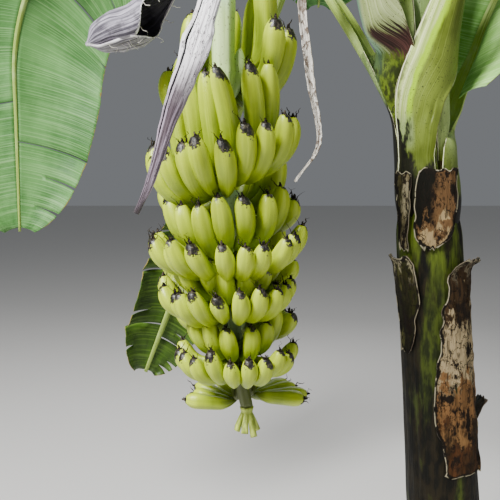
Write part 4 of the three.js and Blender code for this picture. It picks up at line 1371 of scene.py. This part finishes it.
def make_leaves():
    upper = blade_paint("blade_upper", "3e6a22", "5c8a3a", "88ae66", 0.02)
    under = blade_paint("blade_under", "35632a", "588848", "86ae70", 0.02)
    # painted light: a lighter copy of the blade paint, on both faces of leaf_right_back and the under face of
    # leaf_right, standing in for light through and on the right-hand leaves
    bright = blade_paint("blade_painted_light", "64943e", "93c268", "c0e2a4", 0.03)
    flag = blade_paint("blade_flag", "223606", "38560c", "5f7c28", 0.08)
    faces = {"leaf_flag": [flag] * 2, "leaf_right_back": [bright] * 2, "leaf_right": [upper, bright]}
    rib = rib_paint()
    rim = mottled_paint("sheath_rim", 0.7, "4a3c2a", "d3d7a6", 60, (0.42, 0.55), 0.6, stretch=(1, 1, 0.3))
    waxy = sheath_paint("sheath_waxy", "84a038", "b2c87c", "56641a")
    sheaths = {
        "leaf_front_right": olive_paint(),
        "leaf_top": scorched_paint(),
        "leaf_back_left": sheath_paint("sheath_dark", "52662c", "869c60", "333d12", 1.8),
    }
    built = []
    for number, leaf in enumerate(LEAVES):
        leaf.number = number
        leaf.start = leaf.sheath + leaf.petiole
        leaf.shell = core_radius(leaf.foot) + CLEAR + SHEATH_THICK
        line = leaf_line(leaf)
        make_leafstalk(leaf, line, [rib, sheaths.get(leaf.name, waxy), rim], built)
        make_blade(leaf, line, faces.get(leaf.name, [upper, under]))
        built.append((leaf, line))


def make_bunch():
    stalk = stalk_paint()
    make_stalk(stalk)
    scorch = mottled_paint(
        "peel_scorch", 0.8, "1c1812", "4a4536", 150, (0.4, 0.62), 0.8, Specular_IOR_Level=0.15
    )
    style = mottled_paint(
        "dried_style", 0.9, "14110d", "4a4136", 260, (0.45, 0.65), 0.6, 3, Specular_IOR_Level=0.1
    )
    make_hands([peel_paint(), scorch, stalk], style)
    skin = mottled_paint("stub_skin", 0.5, "84942a", "bccb58", 1, (0.35, 0.65), 0.8, 3, (160, 160, 12))
    cut = mottled_paint("stub_cut", 0.7, "1f1a12", "5d5334", 180, (0.4, 0.62), 0.6, 3)
    make_stubs([skin, cut])


def make_hanging_pieces():
    inside = dry_paint("bract_inside", "0d0c10", "25222a", "4a4550")
    make_rolled_bract([bract_paint(), inside])
    make_scaly_strip([strip_paint()] * 2)
    # the pale fibres on the outside are partly the bract's own colour and partly painted highlight
    outside = cup_paint("cup_outside", "3f3a46", "a19ba8", "e4e0e2")
    # painted shade: the cup's inside is near black for the shade in its hollow; its pale rim is its own
    # colour
    inside = cup_paint("cup_inside_painted_shade", "0e0c12", "2c2833", "b9b2b8")
    make_curled_bract([outside, inside], dry_paint("paper_grey", "4c443c", "a39a8e", "e4e2d8", 0.55))


def make_papers():
    back = dry_paint("paper_back", "1a130d", "3f3122", "66543e")
    upper_bands = [(1.32, "a89068"), (1.415, "6d5032")]
    right_bands = [(1.01, "7d5a36"), (1.1, "ab9874"), (1.235, "3a2a18"), (1.34, "857a62")]
    papers = [
        paper_paint("paper_upper", "775834", "4c311c", "a38b62", upper_bands, 1.45),
        paper_paint("paper_strips", "86795a", "3a371c", "a89c7c"),
        paper_paint("paper_hood", "2c2e0e", "18180a", "56542c", [(1.34, "a39a7a")]),
        paper_paint("paper_right", "4f3018", "2e2010", "82603a", right_bands),
        paper_paint("paper_flake", "6e6350", "463b2c", "8f8670"),
    ]
    for number, (sheath, paper) in enumerate(zip(DRY_SHEATHS, papers)):
        make_dry_sheath(sheath, number, [paper, back])


make_camera()
make_world()
make_floor()
make_light("key", (-2.9, -2.4, 4.5), (-0.4, -0.1, 1.6), 1.3, 660)
make_light("fill", (3.4, -2.6, 2.4), (-0.3, 0.0, 1.6), 3.0, 40)
make_light("back", (0.5, 3.5, 4.0), (-0.3, 0.0, 1.9), 3.0, 70)

make_stem(stem_paint())
make_leaves()
make_bunch()
make_hanging_pieces()
make_papers()
